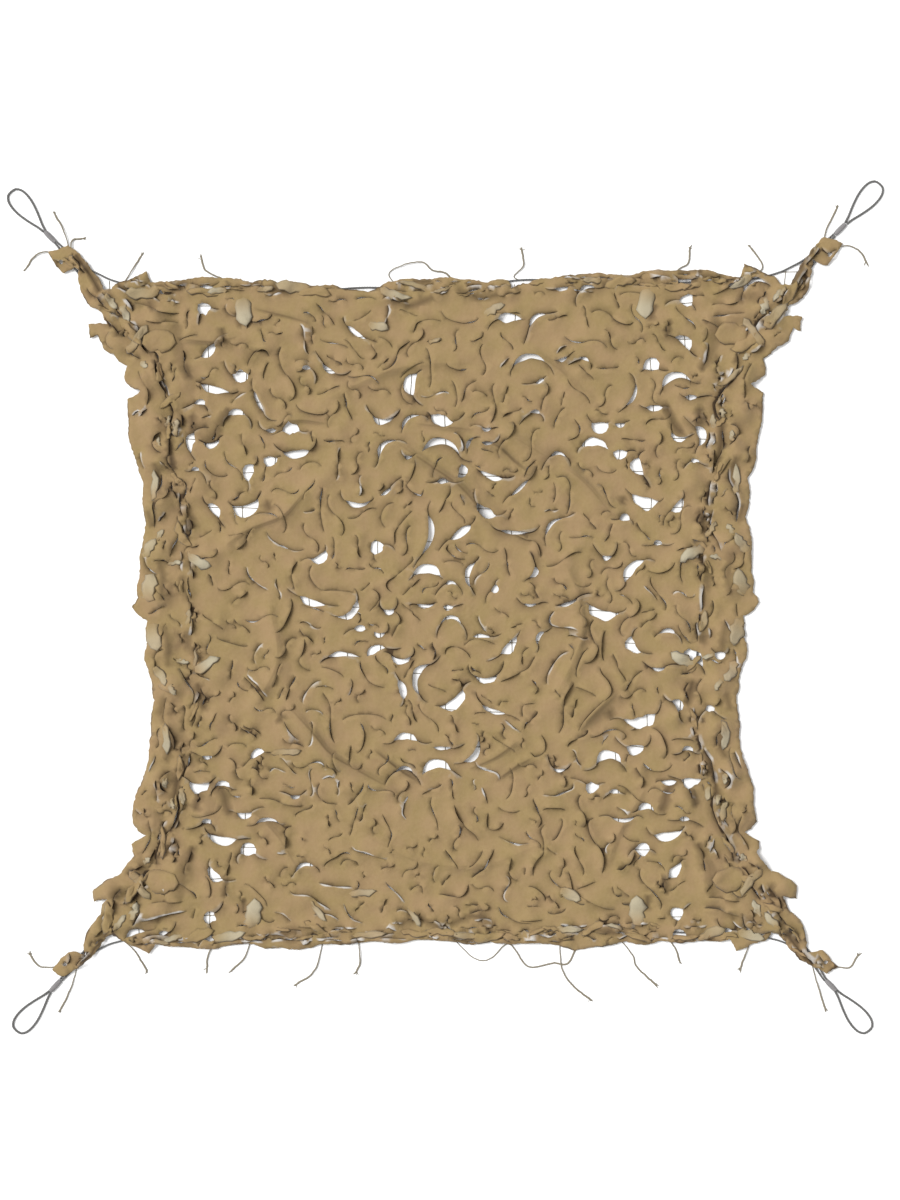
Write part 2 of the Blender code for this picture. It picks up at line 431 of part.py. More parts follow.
def all_lumps():
    lumps = list(SIDE_LUMPS) + list(EDGE_LUMPS)
    for lump in SIDE_LUMPS:
        x, y = twin((lump.x, lump.y))
        lumps.append(Lump(x, y, lump.height, lump.reach))
    return lumps


class Drape:
    """The height of the cloth's underside over the ground."""

    def __init__(self, ropes):
        self.ropes = list(ropes.values())
        self.folds = [
            (np.array([placed(p) for p in fold.path]), fold.height * CM, fold.reach * CM)
            for fold in FOLDS
        ]
        self.lumps = [
            (np.array(placed((lump.x, lump.y))), lump.height * CM, lump.reach * CM)
            for lump in all_lumps()
        ]

    def height(self, point):
        point = np.asarray(point)
        folds = max(h * bell(distance_to_path(point, p), r) for p, h, r in self.folds)
        lumps = max(h * bell(float(np.linalg.norm(c - point)), r) for c, h, r in self.lumps)
        near = min(distance_to_path(point, rope) for rope in self.ropes)
        held = bell(max(near - ROPE_LIFT_CORE, 0.0), ROPE_LIFT_REACH - ROPE_LIFT_CORE)
        pinch = 1.0 - PINCH_DEPTH * bell(max(near - PINCH_CORE, 0.0), PINCH_REACH - PINCH_CORE)
        wave = noise.noise(Vector((point[0], point[1], 0.0)) * RIPPLES_PER_METRE)
        ripple = RIPPLE * max(0.0, wave + RIPPLE_SHARE)
        lifted = CLOTH_REST + (max(folds, lumps) + ripple) * pinch
        return max(lifted, CLOTH_REST + (CLOTH_OVER_ROPE - CLOTH_REST) * held)


def fill_points(outline, cuts, ropes, drape):
    """Points inside the cloth: along the ropes, on the crests, and a loose lattice between."""
    rims = [outline] + cuts
    closed = [np.vstack([rim, rim[:1]]) for rim in rims]

    def free(point, clearance):
        if not inside(point, outline):
            return False
        if any(inside(point, cut) for cut in cuts):
            return False
        return all(distance_to_path(point, rim) > clearance for rim in closed)

    chosen = [p for rope in ropes.values() for p in rope if free(p, ROPE_POINT_CLEARANCE)]
    wanted = [centre for centre, _, _ in drape.lumps]
    for path, _, _ in drape.folds:
        wanted += list(smooth_path(path, CREST_SPACING))
    low, high = outline.min(0), outline.max(0)
    row_step = LATTICE * math.sqrt(3) / 2
    for row in range(int((high[1] - low[1]) / row_step) + 1):
        shift = LATTICE / 2 if row % 2 else 0.0
        for column in range(int((high[0] - low[0]) / LATTICE) + 2):
            x = low[0] + column * LATTICE + shift
            y = low[1] + row * row_step
            sway = noise.noise_vector(Vector((x, y, 0.3)) * JITTERS_PER_METRE)
            wanted.append(np.array((x + LATTICE_JITTER * sway.x, y + LATTICE_JITTER * sway.y)))
    for point in wanted:
        if not free(point, EDGE_CLEARANCE):
            continue
        near_rope = min(distance_to_path(point, rope) for rope in ropes.values())
        spread = min(float(np.linalg.norm(p - point)) for p in chosen)
        if near_rope > ROPE_MARGIN and spread > LEAST_SPREAD:
            chosen.append(np.asarray(point))
    return chosen


def triangulated(rims, extra):
    """Triangles between the outer rim and the inner ones, with the extra points among them."""
    points, edges = [], []
    for rim in rims:
        first = len(points)
        points += [Vector(p) for p in rim]
        edges += [(first + k, first + (k + 1) % len(rim)) for k in range(len(rim))]
    points += [Vector(p) for p in extra]
    made = delaunay_2d_cdt(points, edges, [], 0, 1e-7, False)
    places = np.array([tuple(p) for p in made[0]])
    faces = []
    for face in made[2]:
        middle = places[list(face)].mean(0)
        if inside(middle, rims[0]) and not any(inside(middle, rim) for rim in rims[1:]):
            faces.append(tuple(face))
    return places, faces


def plate(name, places, faces, bottom, thickness):
    """A closed solid: the triangles at the bottom heights, and again one thickness above."""
    used = sorted({v for face in faces for v in face})
    index = {v: k for k, v in enumerate(used)}
    low = [(*places[v], bottom[v]) for v in used]
    high = [(*places[v], bottom[v] + thickness) for v in used]
    count = len(used)
    solid, borders = [], {}
    for face in faces:
        a, b, c = (index[v] for v in face)
        solid.append((a + count, b + count, c + count))
        solid.append((c, b, a))
        for edge in ((a, b), (b, c), (c, a)):
            borders[edge] = borders.get(edge, 0) + 1
    for a, b in borders:
        if (b, a) not in borders:
            solid.append((a, b, b + count))
            solid.append((a, b + count, a + count))
    mesh = bpy.data.meshes.new(name)
    mesh.from_pydata(low + high, [], solid)
    work = bmesh.new()
    work.from_mesh(mesh)
    bmesh.ops.recalc_face_normals(work, faces=work.faces)
    work.to_mesh(mesh)
    work.free()
    made = bpy.data.objects.new(name, mesh)
    bpy.context.scene.collection.objects.link(made)
    return made


def build_cloth(ropes):
    outline = outline_points()
    cuts = [cut_polygon(cut) for cut in open_cuts()]
    drape = Drape(ropes)
    extra = fill_points(outline, cuts, ropes, drape)
    places, faces = triangulated([outline] + cuts, extra)
    bottom = [drape.height(p) for p in places]
    cloth = plate("cloth", places, faces, bottom, CLOTH_THICKNESS)
    cloth.data.materials.append(material("cloth", CLOTH_COLOUR, 0.9))


def ribbon(path, width, looped=False):
    """A flat strand along a path: its corner points and the four-sided pieces between them."""
    steps = np.diff(np.vstack([path, path[:1]]), axis=0)
    steps /= np.linalg.norm(steps, axis=1)[:, None]
    arriving = np.roll(steps, 1, axis=0)
    if not looped:
        arriving[0] = steps[0]
        steps[-1] = arriving[-1]
    along = arriving + steps
    along /= np.linalg.norm(along, axis=1)[:, None]
    mitre = np.minimum(1.0 / (along * steps).sum(1), MOST_MITRE)
    side = np.column_stack([-along[:, 1], along[:, 0]]) * mitre[:, None] * width / 2
    count = len(path)
    corners = list(path - side) + list(path + side)
    pieces = []
    for k in range(count if looped else count - 1):
        n = (k + 1) % count
        pieces.append((k, n, n + count, k + count))
    return corners, pieces


def border_loop(ropes):
    """The net's border strand, which runs under the four ropes."""
    return np.vstack([
        ropes["rope_left"][1:-1:3], ropes["rope_bottom"][1:-1:3],
        ropes["rope_right"][::-1][1:-1:3], ropes["rope_top"][::-1][1:-1:3],
    ])


def crossings(a, b, loop):
    """Where the straight run a-b meets a closed loop, as shares of its length, in order."""
    run = b - a
    shares = []
    for c, d in zip(loop, np.roll(loop, -1, axis=0)):
        edge = d - c
        turn = run[0] * edge[1] - run[1] * edge[0]
        if abs(turn) < 1e-12:
            continue
        share = ((c - a)[0] * edge[1] - (c - a)[1] * edge[0]) / turn
        other = ((c - a)[0] * run[1] - (c - a)[1] * run[0]) / turn
        if 0.0 <= share <= 1.0 and 0.0 <= other < 1.0:
            shares.append(share)
    return sorted(shares)


def mesh_strands(border):
    """The strands of the square mesh, each straight from border to border."""
    strands = []
    for upright in (False, True):
        for line in range(-NET_LINES, NET_LINES + 1):
            level = (line + 0.5) * NET_PITCH
            lean = noise.noise_vector(Vector((line * 1.2, 4.0 + 3.0 * upright, 1.0))) * NET_SWAY
            a = np.array((-NET_REACH, level + lean.x))
            b = np.array((NET_REACH, level + lean.y))
            if upright:
                a, b = a[::-1], b[::-1]
            shares = crossings(a, b, border)
            for low, high in zip(shares[::2], shares[1::2]):
                if (high - low) * 2 * NET_REACH > NET_PITCH:
                    strands.append(np.array([a + (b - a) * low, a + (b - a) * high]))
    return strands


def loose_strands(border):
    """The loose string ends, each tied to the border strand."""
    closed = np.vstack([border, border[:1]])
    strands = []
    for end in LOOSE_ENDS:
        free = [np.array(placed(p)) for p in end[1:]]
        tied = nearest_on(closed, np.array(placed(end[0])))
        strands.append(smooth_path([tied] + free, LOOSE_END_SPACING))
    return strands


def build_net(ropes):
    border = border_loop(ropes)
    ribbons = [ribbon(border, STRING, looped=True)]
    ribbons += [ribbon(path, STRING) for path in mesh_strands(border) + loose_strands(border)]
    corners, shapes = [], []
    for points, pieces in ribbons:
        first = len(corners)
        corners += [Vector(p) for p in points]
        shapes += [[first + k for k in piece] for piece in pieces]
    made = delaunay_2d_cdt(corners, [], shapes, 1, 1e-6, True)
    places = np.array([tuple(p) for p in made[0]])
    faces = [tuple(face) for face, sources in zip(made[2], made[5]) if sources]
    net = plate("net", places, faces, [0.0] * len(places), STRING)
    net.data.materials.append(material("net", NET_COLOUR, 0.85))


def tube(name, path, height, sides, finish):
    """A rope as a curve with a bevel of this many sides, one of them facing straight up."""
    shape = bpy.data.curves.new(name, "CURVE")
    shape.dimensions = "3D"
    shape.bevel_depth = ROPE_DIAMETER / 2
    shape.bevel_resolution = (sides - 4) // 2
    shape.use_fill_caps = True
    spline = shape.splines.new("POLY")
    spline.points.add(len(path) - 1)
    flat_up = 0.0 if sides % 4 else math.pi / sides
    for point, place in zip(spline.points, path):
        point.co = (place[0], place[1], height, 1.0)
        point.tilt = flat_up
    made = bpy.data.objects.new(name, shape)
    bpy.context.scene.collection.objects.link(made)
    shape.materials.append(finish)
    return made


def loop_path(corner):
    """The loop's centre line: out along one side, over the tip and back along the other."""
    outer, _, along, across = corner_axes(corner)
    right = [outer + (u * along + v * across) * CM for u, v in LOOP_RIGHT_SIDE]
    left = [outer + (u * along - v * across) * CM for u, v in reversed(LOOP_RIGHT_SIDE)]
    return smooth_path(right + left, LOOP_SPACING)


def build_loops():
    finish = material("loop", ROPE_COLOUR, 0.8)
    for corner in CORNERS:
        tube(f"loop_{corner.name}", loop_path(corner), LOOP_HEIGHT, LOOP_SIDES, finish)


def build_edge_ropes(ropes):
    finish = material("edge_rope", ROPE_COLOUR, 0.8)
    for name, path in ropes.items():
        tube(name, path, EDGE_ROPE_HEIGHT, EDGE_ROPE_SIDES, finish)


def build_whippings():
    """Each whipping is a wound sleeve, a little fuller in the middle than at its ends."""
    finish = material("whipping", WHIP_COLOUR, 0.85)
    for corner in CORNERS:
        outer, inner, _, _ = corner_axes(corner)
        along = (inner - outer) / np.linalg.norm(inner - outer)
        across = np.array((along[1], -along[0]))
        work = bmesh.new()
        loops = []
        for share, fullness in WHIP_RINGS:
            middle = outer + (inner - outer) * share
            ring = []
            for side in range(WHIP_SIDES):
                turn = 2 * math.pi * (side + 0.5) / WHIP_SIDES
                flat = middle + across * math.cos(turn) * fullness * WHIP_WIDTH / 2
                rise = math.sin(turn) * fullness / math.cos(math.pi / WHIP_SIDES)
                up = WHIP_HEIGHT / 2 * (1.0 + rise)
                ring.append(work.verts.new((flat[0], flat[1], up)))
            loops.append(ring)
        for first, second in zip(loops, loops[1:]):
            for k in range(WHIP_SIDES):
                n = (k + 1) % WHIP_SIDES
                work.faces.new((first[k], first[n], second[n], second[k]))
        work.faces.new(loops[0])
        work.faces.new(loops[-1])
        bmesh.ops.recalc_face_normals(work, faces=work.faces)
        mesh = bpy.data.meshes.new(f"whipping_{corner.name}")
        work.to_mesh(mesh)
        work.free()
        mesh.materials.append(finish)
        made = bpy.data.objects.new(mesh.name, mesh)
        bpy.context.scene.collection.objects.link(made)


def main():
    clear_scene()
    ropes = rope_paths()
    build_cloth(ropes)
    build_net(ropes)
    build_edge_ropes(ropes)
    build_loops()
    build_whippings()


main()
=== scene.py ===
"""Camouflage netting, laid flat: an incised cloth on a knotted string net.

A rope runs along each edge, and at each corner the two ropes are whipped to a rope loop.
Sizes are in metres, except in the tables, which give places in centimetres from the
middle of the cloth, +X to the right and +Y to the top edge.
"""

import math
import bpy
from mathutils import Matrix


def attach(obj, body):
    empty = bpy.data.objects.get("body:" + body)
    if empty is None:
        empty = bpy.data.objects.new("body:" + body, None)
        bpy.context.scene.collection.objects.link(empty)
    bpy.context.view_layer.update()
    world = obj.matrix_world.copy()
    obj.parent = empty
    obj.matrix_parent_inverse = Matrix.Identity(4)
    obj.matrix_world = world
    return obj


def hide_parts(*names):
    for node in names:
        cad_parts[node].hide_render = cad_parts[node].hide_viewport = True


bl_info = {
    "name": "Camouflage netting",
    "version": (1, 0, 0),
    "blender": (4, 5, 0),
    "location": "3D View > Sidebar > Netting",
    "description": "Builds an incised cloth on its string net, with ropes, loops and whippings",
    "category": "Object",
}

from collections import namedtuple

import bpy
import numpy as np
from bpy.props import FloatProperty, FloatVectorProperty, IntProperty, PointerProperty
from bpy.types import Operator, Panel, PropertyGroup
from mathutils import Vector, kdtree, noise
from mathutils.geometry import delaunay_2d_cdt

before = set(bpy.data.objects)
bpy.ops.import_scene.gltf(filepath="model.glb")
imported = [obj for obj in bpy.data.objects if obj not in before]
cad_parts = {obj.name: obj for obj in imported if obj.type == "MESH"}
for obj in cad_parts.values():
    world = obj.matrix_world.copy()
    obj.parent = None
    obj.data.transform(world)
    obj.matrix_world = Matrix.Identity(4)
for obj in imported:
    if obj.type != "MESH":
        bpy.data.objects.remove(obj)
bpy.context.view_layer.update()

CM = 0.01
MIDDLE = (0.0, 0.0075)
STRING_TOP = 0.002
CLEARANCE = 0.0003
ROPE_DIAMETER = 0.005
ROPE_HEIGHT = STRING_TOP + CLEARANCE + ROPE_DIAMETER / 2 * math.cos(math.pi / 6)
CLOTH_REST = STRING_TOP + CLEARANCE
CLOTH_OVER_ROPE = ROPE_HEIGHT + ROPE_DIAMETER / 2 + 0.002
CLOTH_TOP = 0.040
FAR_FROM_CUTS = 20.0  # in millimetres
LIGHT_SIDE = (-0.92, 0.38)
CURVE_STEPS = 16
TESTS_AT_ONCE = 2_000_000
LEAF_ROWS = 7
LEAF_SHARES = (-1.0, -0.5, 0.0, 0.5, 1.0)
OFF_THE_FLOOR = 0.0001
NET_PATH_SPACING = 0.012
SIDE_ROPES = ("rope_left", "rope_right")

# The right-hand half is the left-hand half turned over, and lies a little higher up.
TWIN_SHIFT = -0.3
TWIN_LIFT_TOP = 2.0
TWIN_LIFT_BOTTOM = 0.6

Fold = namedtuple("Fold", "path height reach")
Lump = namedtuple("Lump", "x y height reach")
Crease = namedtuple("Crease", "path height slope drop dark")
Flap = namedtuple("Flap", "x y angle length width pale")
Slit = namedtuple("Slit", "line left right lift dark pale")

TOP_ROPE = (
    (-90.6, 86.7), (-86.5, 84.3), (-82.8, 82.7), (-75.6, 81.1), (-61.5, 80.5), (-36.5, 80.0),
    (-20.0, 81.1), (0.0, 80.5),
)
LEFT_ROPE = (
    (-91.4, 84.0), (-85.0, 75.2), (-80.4, 71.4), (-74.3, 64.0), (-71.8, 57.8), (-68.5, 50.5),
    (-67.5, 35.5), (-65.8, 20.5), (-64.3, 0.5), (-62.5, -19.5), (-64.0, -32.0), (-67.0, -47.0),
    (-69.2, -54.5), (-74.0, -64.5), (-81.5, -73.6), (-90.4, -84.6),
)
BOTTOM_ROPE = (
    (-90.4, -86.8), (-86.5, -84.2), (-82.8, -82.6), (-75.6, -81.4), (-61.5, -80.8), (-36.5, -80.5),
    (0.0, -80.7),
)
ROPE_PAIR_SPACING = 0.0062
ROPE_END_CLEARANCE = 0.0007

# Half of a corner loop: distance along the corner's diagonal from the whipping, and across it.
LOOP_RIGHT_SIDE = (
    (0.12, 0.28), (1.8, 0.65), (3.6, 1.25), (5.6, 1.85), (7.6, 2.3), (9.6, 2.45), (11.4, 2.2),
    (12.6, 1.45), (12.95, 0.6),
)
Corner = namedtuple("Corner", "name outer inner tip")
CORNERS = (
    Corner("top_left", (-100.3, 95.1), (-97.5, 92.3), (-109.4, 106.0)),
    Corner("top_right", (99.9, 97.1), (97.1, 94.3), (109.0, 107.8)),
    Corner("bottom_right", (97.4, -94.6), (94.9, -92.0), (106.4, -105.6)),
    Corner("bottom_left", (-98.9, -94.8), (-96.3, -92.0), (-108.2, -105.6)),
)

# Main folds: ridges of the cloth, each a path with its height and half width.
FOLDS = (
    Fold(((-17.3, 45.0), (-6.0, 44.0), (7.8, 44.2), (20.0, 35.0)), 1.3, 3.5),
    Fold(((-12.0, 43.0), (-0.8, 36.4), (6.8, 29.6), (13.0, 21.0)), 2.2, 4.0),
    Fold(((14.5, 45.0), (24.3, 39.8), (34.5, 32.0), (42.5, 25.5)), 1.8, 3.5),
    Fold(((-49.0, 43.6), (-36.5, 42.4), (-27.3, 45.3)), 1.4, 3.5),
    Fold(((-55.5, 16.3), (-49.0, 21.4), (-42.5, 22.3), (-32.8, 32.0), (-28.5, 34.8)), 1.8, 4.0),
    Fold(((-39.8, -23.0), (-32.8, -30.5), (-27.8, -36.0), (-13.3, -44.3)), 1.7, 4.0),
    Fold(((-18.8, -34.5), (-6.8, -44.0)), 1.2, 3.5), Fold(((18.3, -31.3), (11.5, -39.5)), 1.3, 3.5),
    Fold(((42.3, -20.0), (33.0, -29.5)), 1.6, 4.0),
    Fold(((-92.0, 86.0), (-87.6, 80.0), (-80.0, 74.5), (-71.0, 71.5)), 2.4, 3.5),
    Fold(((-66.0, 69.5), (-50.0, 68.6), (-36.0, 71.0)), 1.5, 4.5),
    Fold(((90.6, 86.0), (86.6, 81.5), (79.6, 76.5), (70.6, 73.5)), 2.4, 3.5),
    Fold(((65.6, 71.5), (50.0, 70.8), (36.0, 69.5)), 1.5, 4.5),
    Fold(((-91.0, -85.6), (-87.0, -80.0), (-80.0, -77.5), (-70.0, -72.5)), 2.4, 3.5),
    Fold(((-66.0, -71.5), (-50.0, -69.6), (-36.0, -72.0)), 1.5, 4.5),
    Fold(((90.0, -85.0), (86.4, -79.6), (79.6, -77.0), (70.0, -72.0)), 2.4, 3.5),
    Fold(((66.0, -71.0), (50.0, -69.5), (36.0, -71.5)), 1.5, 4.5),
    Fold(((-30.0, 53.0), (-10.0, 62.5), (8.0, 65.5)), 1.2, 4.0),
    Fold(((-20.0, -58.0), (2.0, -63.5), (24.0, -60.0)), 1.2, 4.0),
    Fold(((30.0, 12.0), (33.5, -8.0), (27.0, -22.0)), 1.2, 4.0),
    Fold(((-44.0, 2.0), (-42.0, -12.0), (-48.0, -24.0)), 1.2, 4.0),
)
# Puffed lobes along the left-hand rope, outside it and inside it; the right has their twins.
SIDE_LUMPS = (
    Lump(-82.0, 67.2, 2.2, 4.5), Lump(-75.2, 57.0, 2.8, 4.5), Lump(-73.4, 48.0, 3.2, 5.0),
    Lump(-72.4, 38.0, 2.8, 5.0), Lump(-70.8, 27.5, 3.2, 5.0), Lump(-71.0, 16.0, 3.0, 5.0),
    Lump(-71.4, 5.0, 3.2, 5.5), Lump(-69.8, -7.0, 2.8, 5.0), Lump(-68.4, -18.5, 3.2, 5.0),
    Lump(-69.2, -30.0, 2.8, 5.0), Lump(-71.2, -41.0, 3.2, 5.0), Lump(-73.8, -51.5, 2.8, 4.5),
    Lump(-78.5, -62.5, 2.8, 4.5), Lump(-84.6, -69.8, 2.2, 4.0), Lump(-66.0, 57.5, 2.4, 5.0),
    Lump(-62.0, 47.2, 2.0, 4.5), Lump(-61.6, 31.0, 2.2, 5.0), Lump(-59.4, 14.0, 2.4, 5.5),
    Lump(-57.6, -3.0, 2.2, 5.5), Lump(-56.6, -15.0, 2.4, 5.5), Lump(-57.4, -27.0, 2.2, 5.0),
    Lump(-60.6, -48.0, 2.0, 4.5), Lump(-66.5, -65.5, 2.4, 5.0), Lump(-74.5, -74.8, 2.2, 4.5),
    Lump(-73.0, 73.8, 2.0, 5.0),
)
# Bunched cloth along the top and bottom edges: the middle of each bunch and its height.
EDGE_LUMPS = (
    Lump(-68.0, 80.0, 1.6, 4.0), Lump(-52.0, 79.6, 1.3, 4.5), Lump(-33.0, 78.8, 1.6, 4.5),
    Lump(-16.0, 79.6, 1.8, 5.0), Lump(-2.0, 79.8, 1.5, 4.0), Lump(14.0, 80.4, 1.8, 5.0),
    Lump(33.0, 81.4, 1.4, 4.5), Lump(52.0, 81.8, 1.6, 4.5), Lump(70.0, 82.2, 1.6, 4.0),
    Lump(-68.0, -80.4, 1.6, 4.0), Lump(-50.0, -80.0, 1.4, 4.5), Lump(-31.0, -80.2, 1.7, 4.5),
    Lump(-13.0, -79.6, 1.8, 5.0), Lump(5.0, -79.8, 1.5, 4.5), Lump(22.0, -80.0, 1.8, 5.0),
    Lump(40.0, -80.0, 1.5, 4.5), Lump(57.0, -80.0, 1.3, 4.0), Lump(70.0, -80.4, 1.6, 4.0),
)

# Sharp creases: a path, the ridge's height, the widths of its long and steep slopes, and how
# deep in shade the steep slope lies.
CREASES = (
    Crease(((-12.5, 42.5), (-8.3, 39.5), (-2.8, 35.8), (3.3, 31.5), (7.3, 27.0), (9.3, 23.5),
            (13.3, 19.8)), 1.7, 3.5, 1.5, 0.75),
    Crease(((8.5, 43.0), (13.0, 41.3), (16.8, 37.8), (20.3, 35.0)), 0.6, 2.5, 0.6, 0.8),
    Crease(((14.3, 45.5), (18.3, 42.8), (23.0, 40.0), (26.0, 38.0)), 0.8, 3.0, 1.6, 0.35),
    Crease(((29.0, 36.5), (34.5, 32.3), (39.8, 26.3), (42.0, 24.0)), 0.9, 3.0, 1.2, 0.4),
    Crease(((-48.3, 76.0), (-45.0, 75.0), (-40.0, 73.8), (-34.0, 72.0)), 0.6, 2.5, 0.7, 0.7),
    Crease(((-46.0, 45.5), (-41.0, 47.0), (-36.0, 47.8), (-29.0, 46.8)), 0.9, 3.0, 0.9, 0.6),
    Crease(((-55.0, 16.5), (-49.0, 20.6), (-41.0, 23.8), (-37.3, 27.5),
            (-34.6, 30.8)), 0.9, 3.0, 0.8, 0.6),
    Crease(((-7.8, 47.0), (-1.0, 46.2), (7.0, 45.4)), 1.0, 3.0, 1.2, 0.6),
    Crease(((-66.0, 68.0), (-58.0, 67.4), (-52.0, 68.6)), 1.0, 3.0, 1.0, 0.6),
    Crease(((-39.8, -23.0), (-32.8, -30.5), (-27.8, -36.0), (-13.3, -44.3)), 1.1, 3.5, 1.2, 0.75),
    Crease(((-18.2, -34.2), (-14.9, -36.8), (-10.9, -39.9), (-6.8, -42.4)), 0.8, 3.0, 0.8, 0.95),
    Crease(((17.8, -32.4), (12.3, -36.4), (5.7, -39.3)), 0.7, 3.0, 0.8, 0.75),
    Crease(((21.8, -36.4), (18.2, -38.2), (12.3, -42.3)), 0.7, 3.0, 0.8, 0.8),
    Crease(((42.3, -20.0), (38.0, -24.5), (33.0, -29.5)), 1.0, 3.0, 1.1, 0.5),
    Crease(((30.0, 12.0), (33.5, 2.0), (33.5, -8.0), (27.0, -22.0)), 0.8, 4.0, 1.4, 0.3),
    Crease(((-44.0, 2.0), (-42.0, -12.0), (-48.0, -24.0)), 0.8, 4.0, 1.4, 0.3),
    Crease(((-30.0, 53.0), (-18.0, 58.5), (-8.0, 61.5), (6.0, 62.0)), 0.6, 4.0, 1.6, 0.25),
    Crease(((20.0, 66.0), (29.0, 60.0), (36.0, 52.0)), 0.6, 4.0, 1.4, 0.3),
    Crease(((-20.0, -56.0), (-6.0, -62.5), (10.0, -63.0), (24.0, -58.0)), 0.6, 4.0, 1.6, 0.25),
    Crease(((-50.0, -48.0), (-42.0, -56.0), (-36.0, -66.0)), 0.7, 3.5, 1.2, 0.4),
    Crease(((50.0, -44.0), (44.0, -54.0), (40.0, -64.0)), 0.7, 3.5, 1.2, 0.4),
)
# Deep shade between the folds of the upper left-hand side, which the other three quarters have
# too: how far it reaches from its path, how dark it is, and the path.
HOLLOWS = (
    (1.3, 0.8, (-58.9, 43.2), (-57.0, 45.5), (-55.9, 48.3), (-54.6, 50.0)),
    (2.0, 0.5, (-67.4, 70.5), (-66.8, 65.0), (-65.0, 60.5)), (0.9, 0.9, (-65.2, 61.4), (-64.2, 58.8)),
    (1.1, 0.85, (-63.4, 48.8), (-63.1, 45.6)), (0.9, 0.95, (-69.3, 47.0), (-68.8, 40.0), (-68.0, 36.0)),
    (1.2, 0.85, (-64.9, 18.6), (-64.4, 21.0), (-63.6, 23.6)), (1.1, 0.75, (-44.6, 26.9), (-44.2, 25.9)),
    (0.9, 0.75, (-46.5, 80.7), (-43.0, 80.5), (-39.5, 79.8)), (0.8, 0.65, (-69.0, 82.3), (-64.8, 82.0)),
    (0.9, 0.7, (-13.0, 77.5), (-9.0, 76.5), (-3.5, 78.5)), (0.8, 0.8, (-8.0, 82.6), (-4.0, 82.6)),
    (0.7, 0.9, (-77.4, 69.2), (-75.7, 66.8), (-74.0, 64.8)), (0.6, 0.9, (-73.0, 62.8), (-72.5, 60.6)),
    (0.8, 0.85, (-56.0, 70.6), (-55.4, 67.0)), (1.0, 0.7, (-74.2, 77.2), (-73.6, 75.8)),
    (1.5, 0.4, (-79.0, 77.4), (-76.4, 76.6)), (0.5, 0.9, (-83.2, 71.2), (-82.0, 69.0)),
    (0.6, 1.0, (-92.4, 89.0), (-89.5, 85.0), (-86.5, 80.2)), (0.7, 0.8, (-52.6, 74.6), (-51.4, 71.6)),
    (1.0, 0.6, (-71.6, 13.0), (-70.6, 8.0), (-70.9, 4.0)), (1.2, 0.6, (-65.9, 8.6), (-65.4, 5.0)),
    (0.8, 0.7, (-72.6, 36.8), (-71.4, 33.4), (-71.8, 29.6)), (0.9, 0.6, (-74.4, 25.0), (-73.4, 21.6)),
)
# Least cloth left between a cut whose place is set, or one that a rope has gathered, and others.
DRAWN_CUT_CLEARANCE = 0.0045
GATHERED_CUT_CLEARANCE = 0.0038
# Rows of gathered cuts beside a side rope and along a hem: how far inside the rope a row runs,
# in metres, and the share of its cuts that are made.
SIDE_ROWS = ((0.003, 0.9), (-0.012, 0.35), (0.017, 0.4))
HEM_ROWS = (
    (-0.0175, 0.9), (-0.0105, 0.75), (-0.003, 0.7), (0.006, 0.6), (0.017, 0.4), (0.032, 0.25),
)
# How pale a cut's raised lip or a hem's leaf may be, and how often each.
PALENESS = (0.0, 0.6, 1.0)
GATHERED_PALE_SHARES = (0.4, 0.2, 0.4)
CLOSED_PALE_SHARES = (0.88, 0.06, 0.06)
LEAF_PALENESS = (0.0, 0.35, 0.85)
SIDE_LEAF_SHARES = (0.75, 0.25, 0.0)
HEM_LEAF_SHARES = (0.6, 0.25, 0.15)
# How dark a closed cut looks, and how often.
DARKNESS = (0.2, 0.45, 0.7, 1.0)
DARKNESS_SHARES = (0.25, 0.3, 0.27, 0.18)
CLOSED_CUT_TRIES = 7
# The quarters of the cloth, as right-hand and lower ones.
QUARTERS = ((False, False), (True, False), (False, True), (True, True))
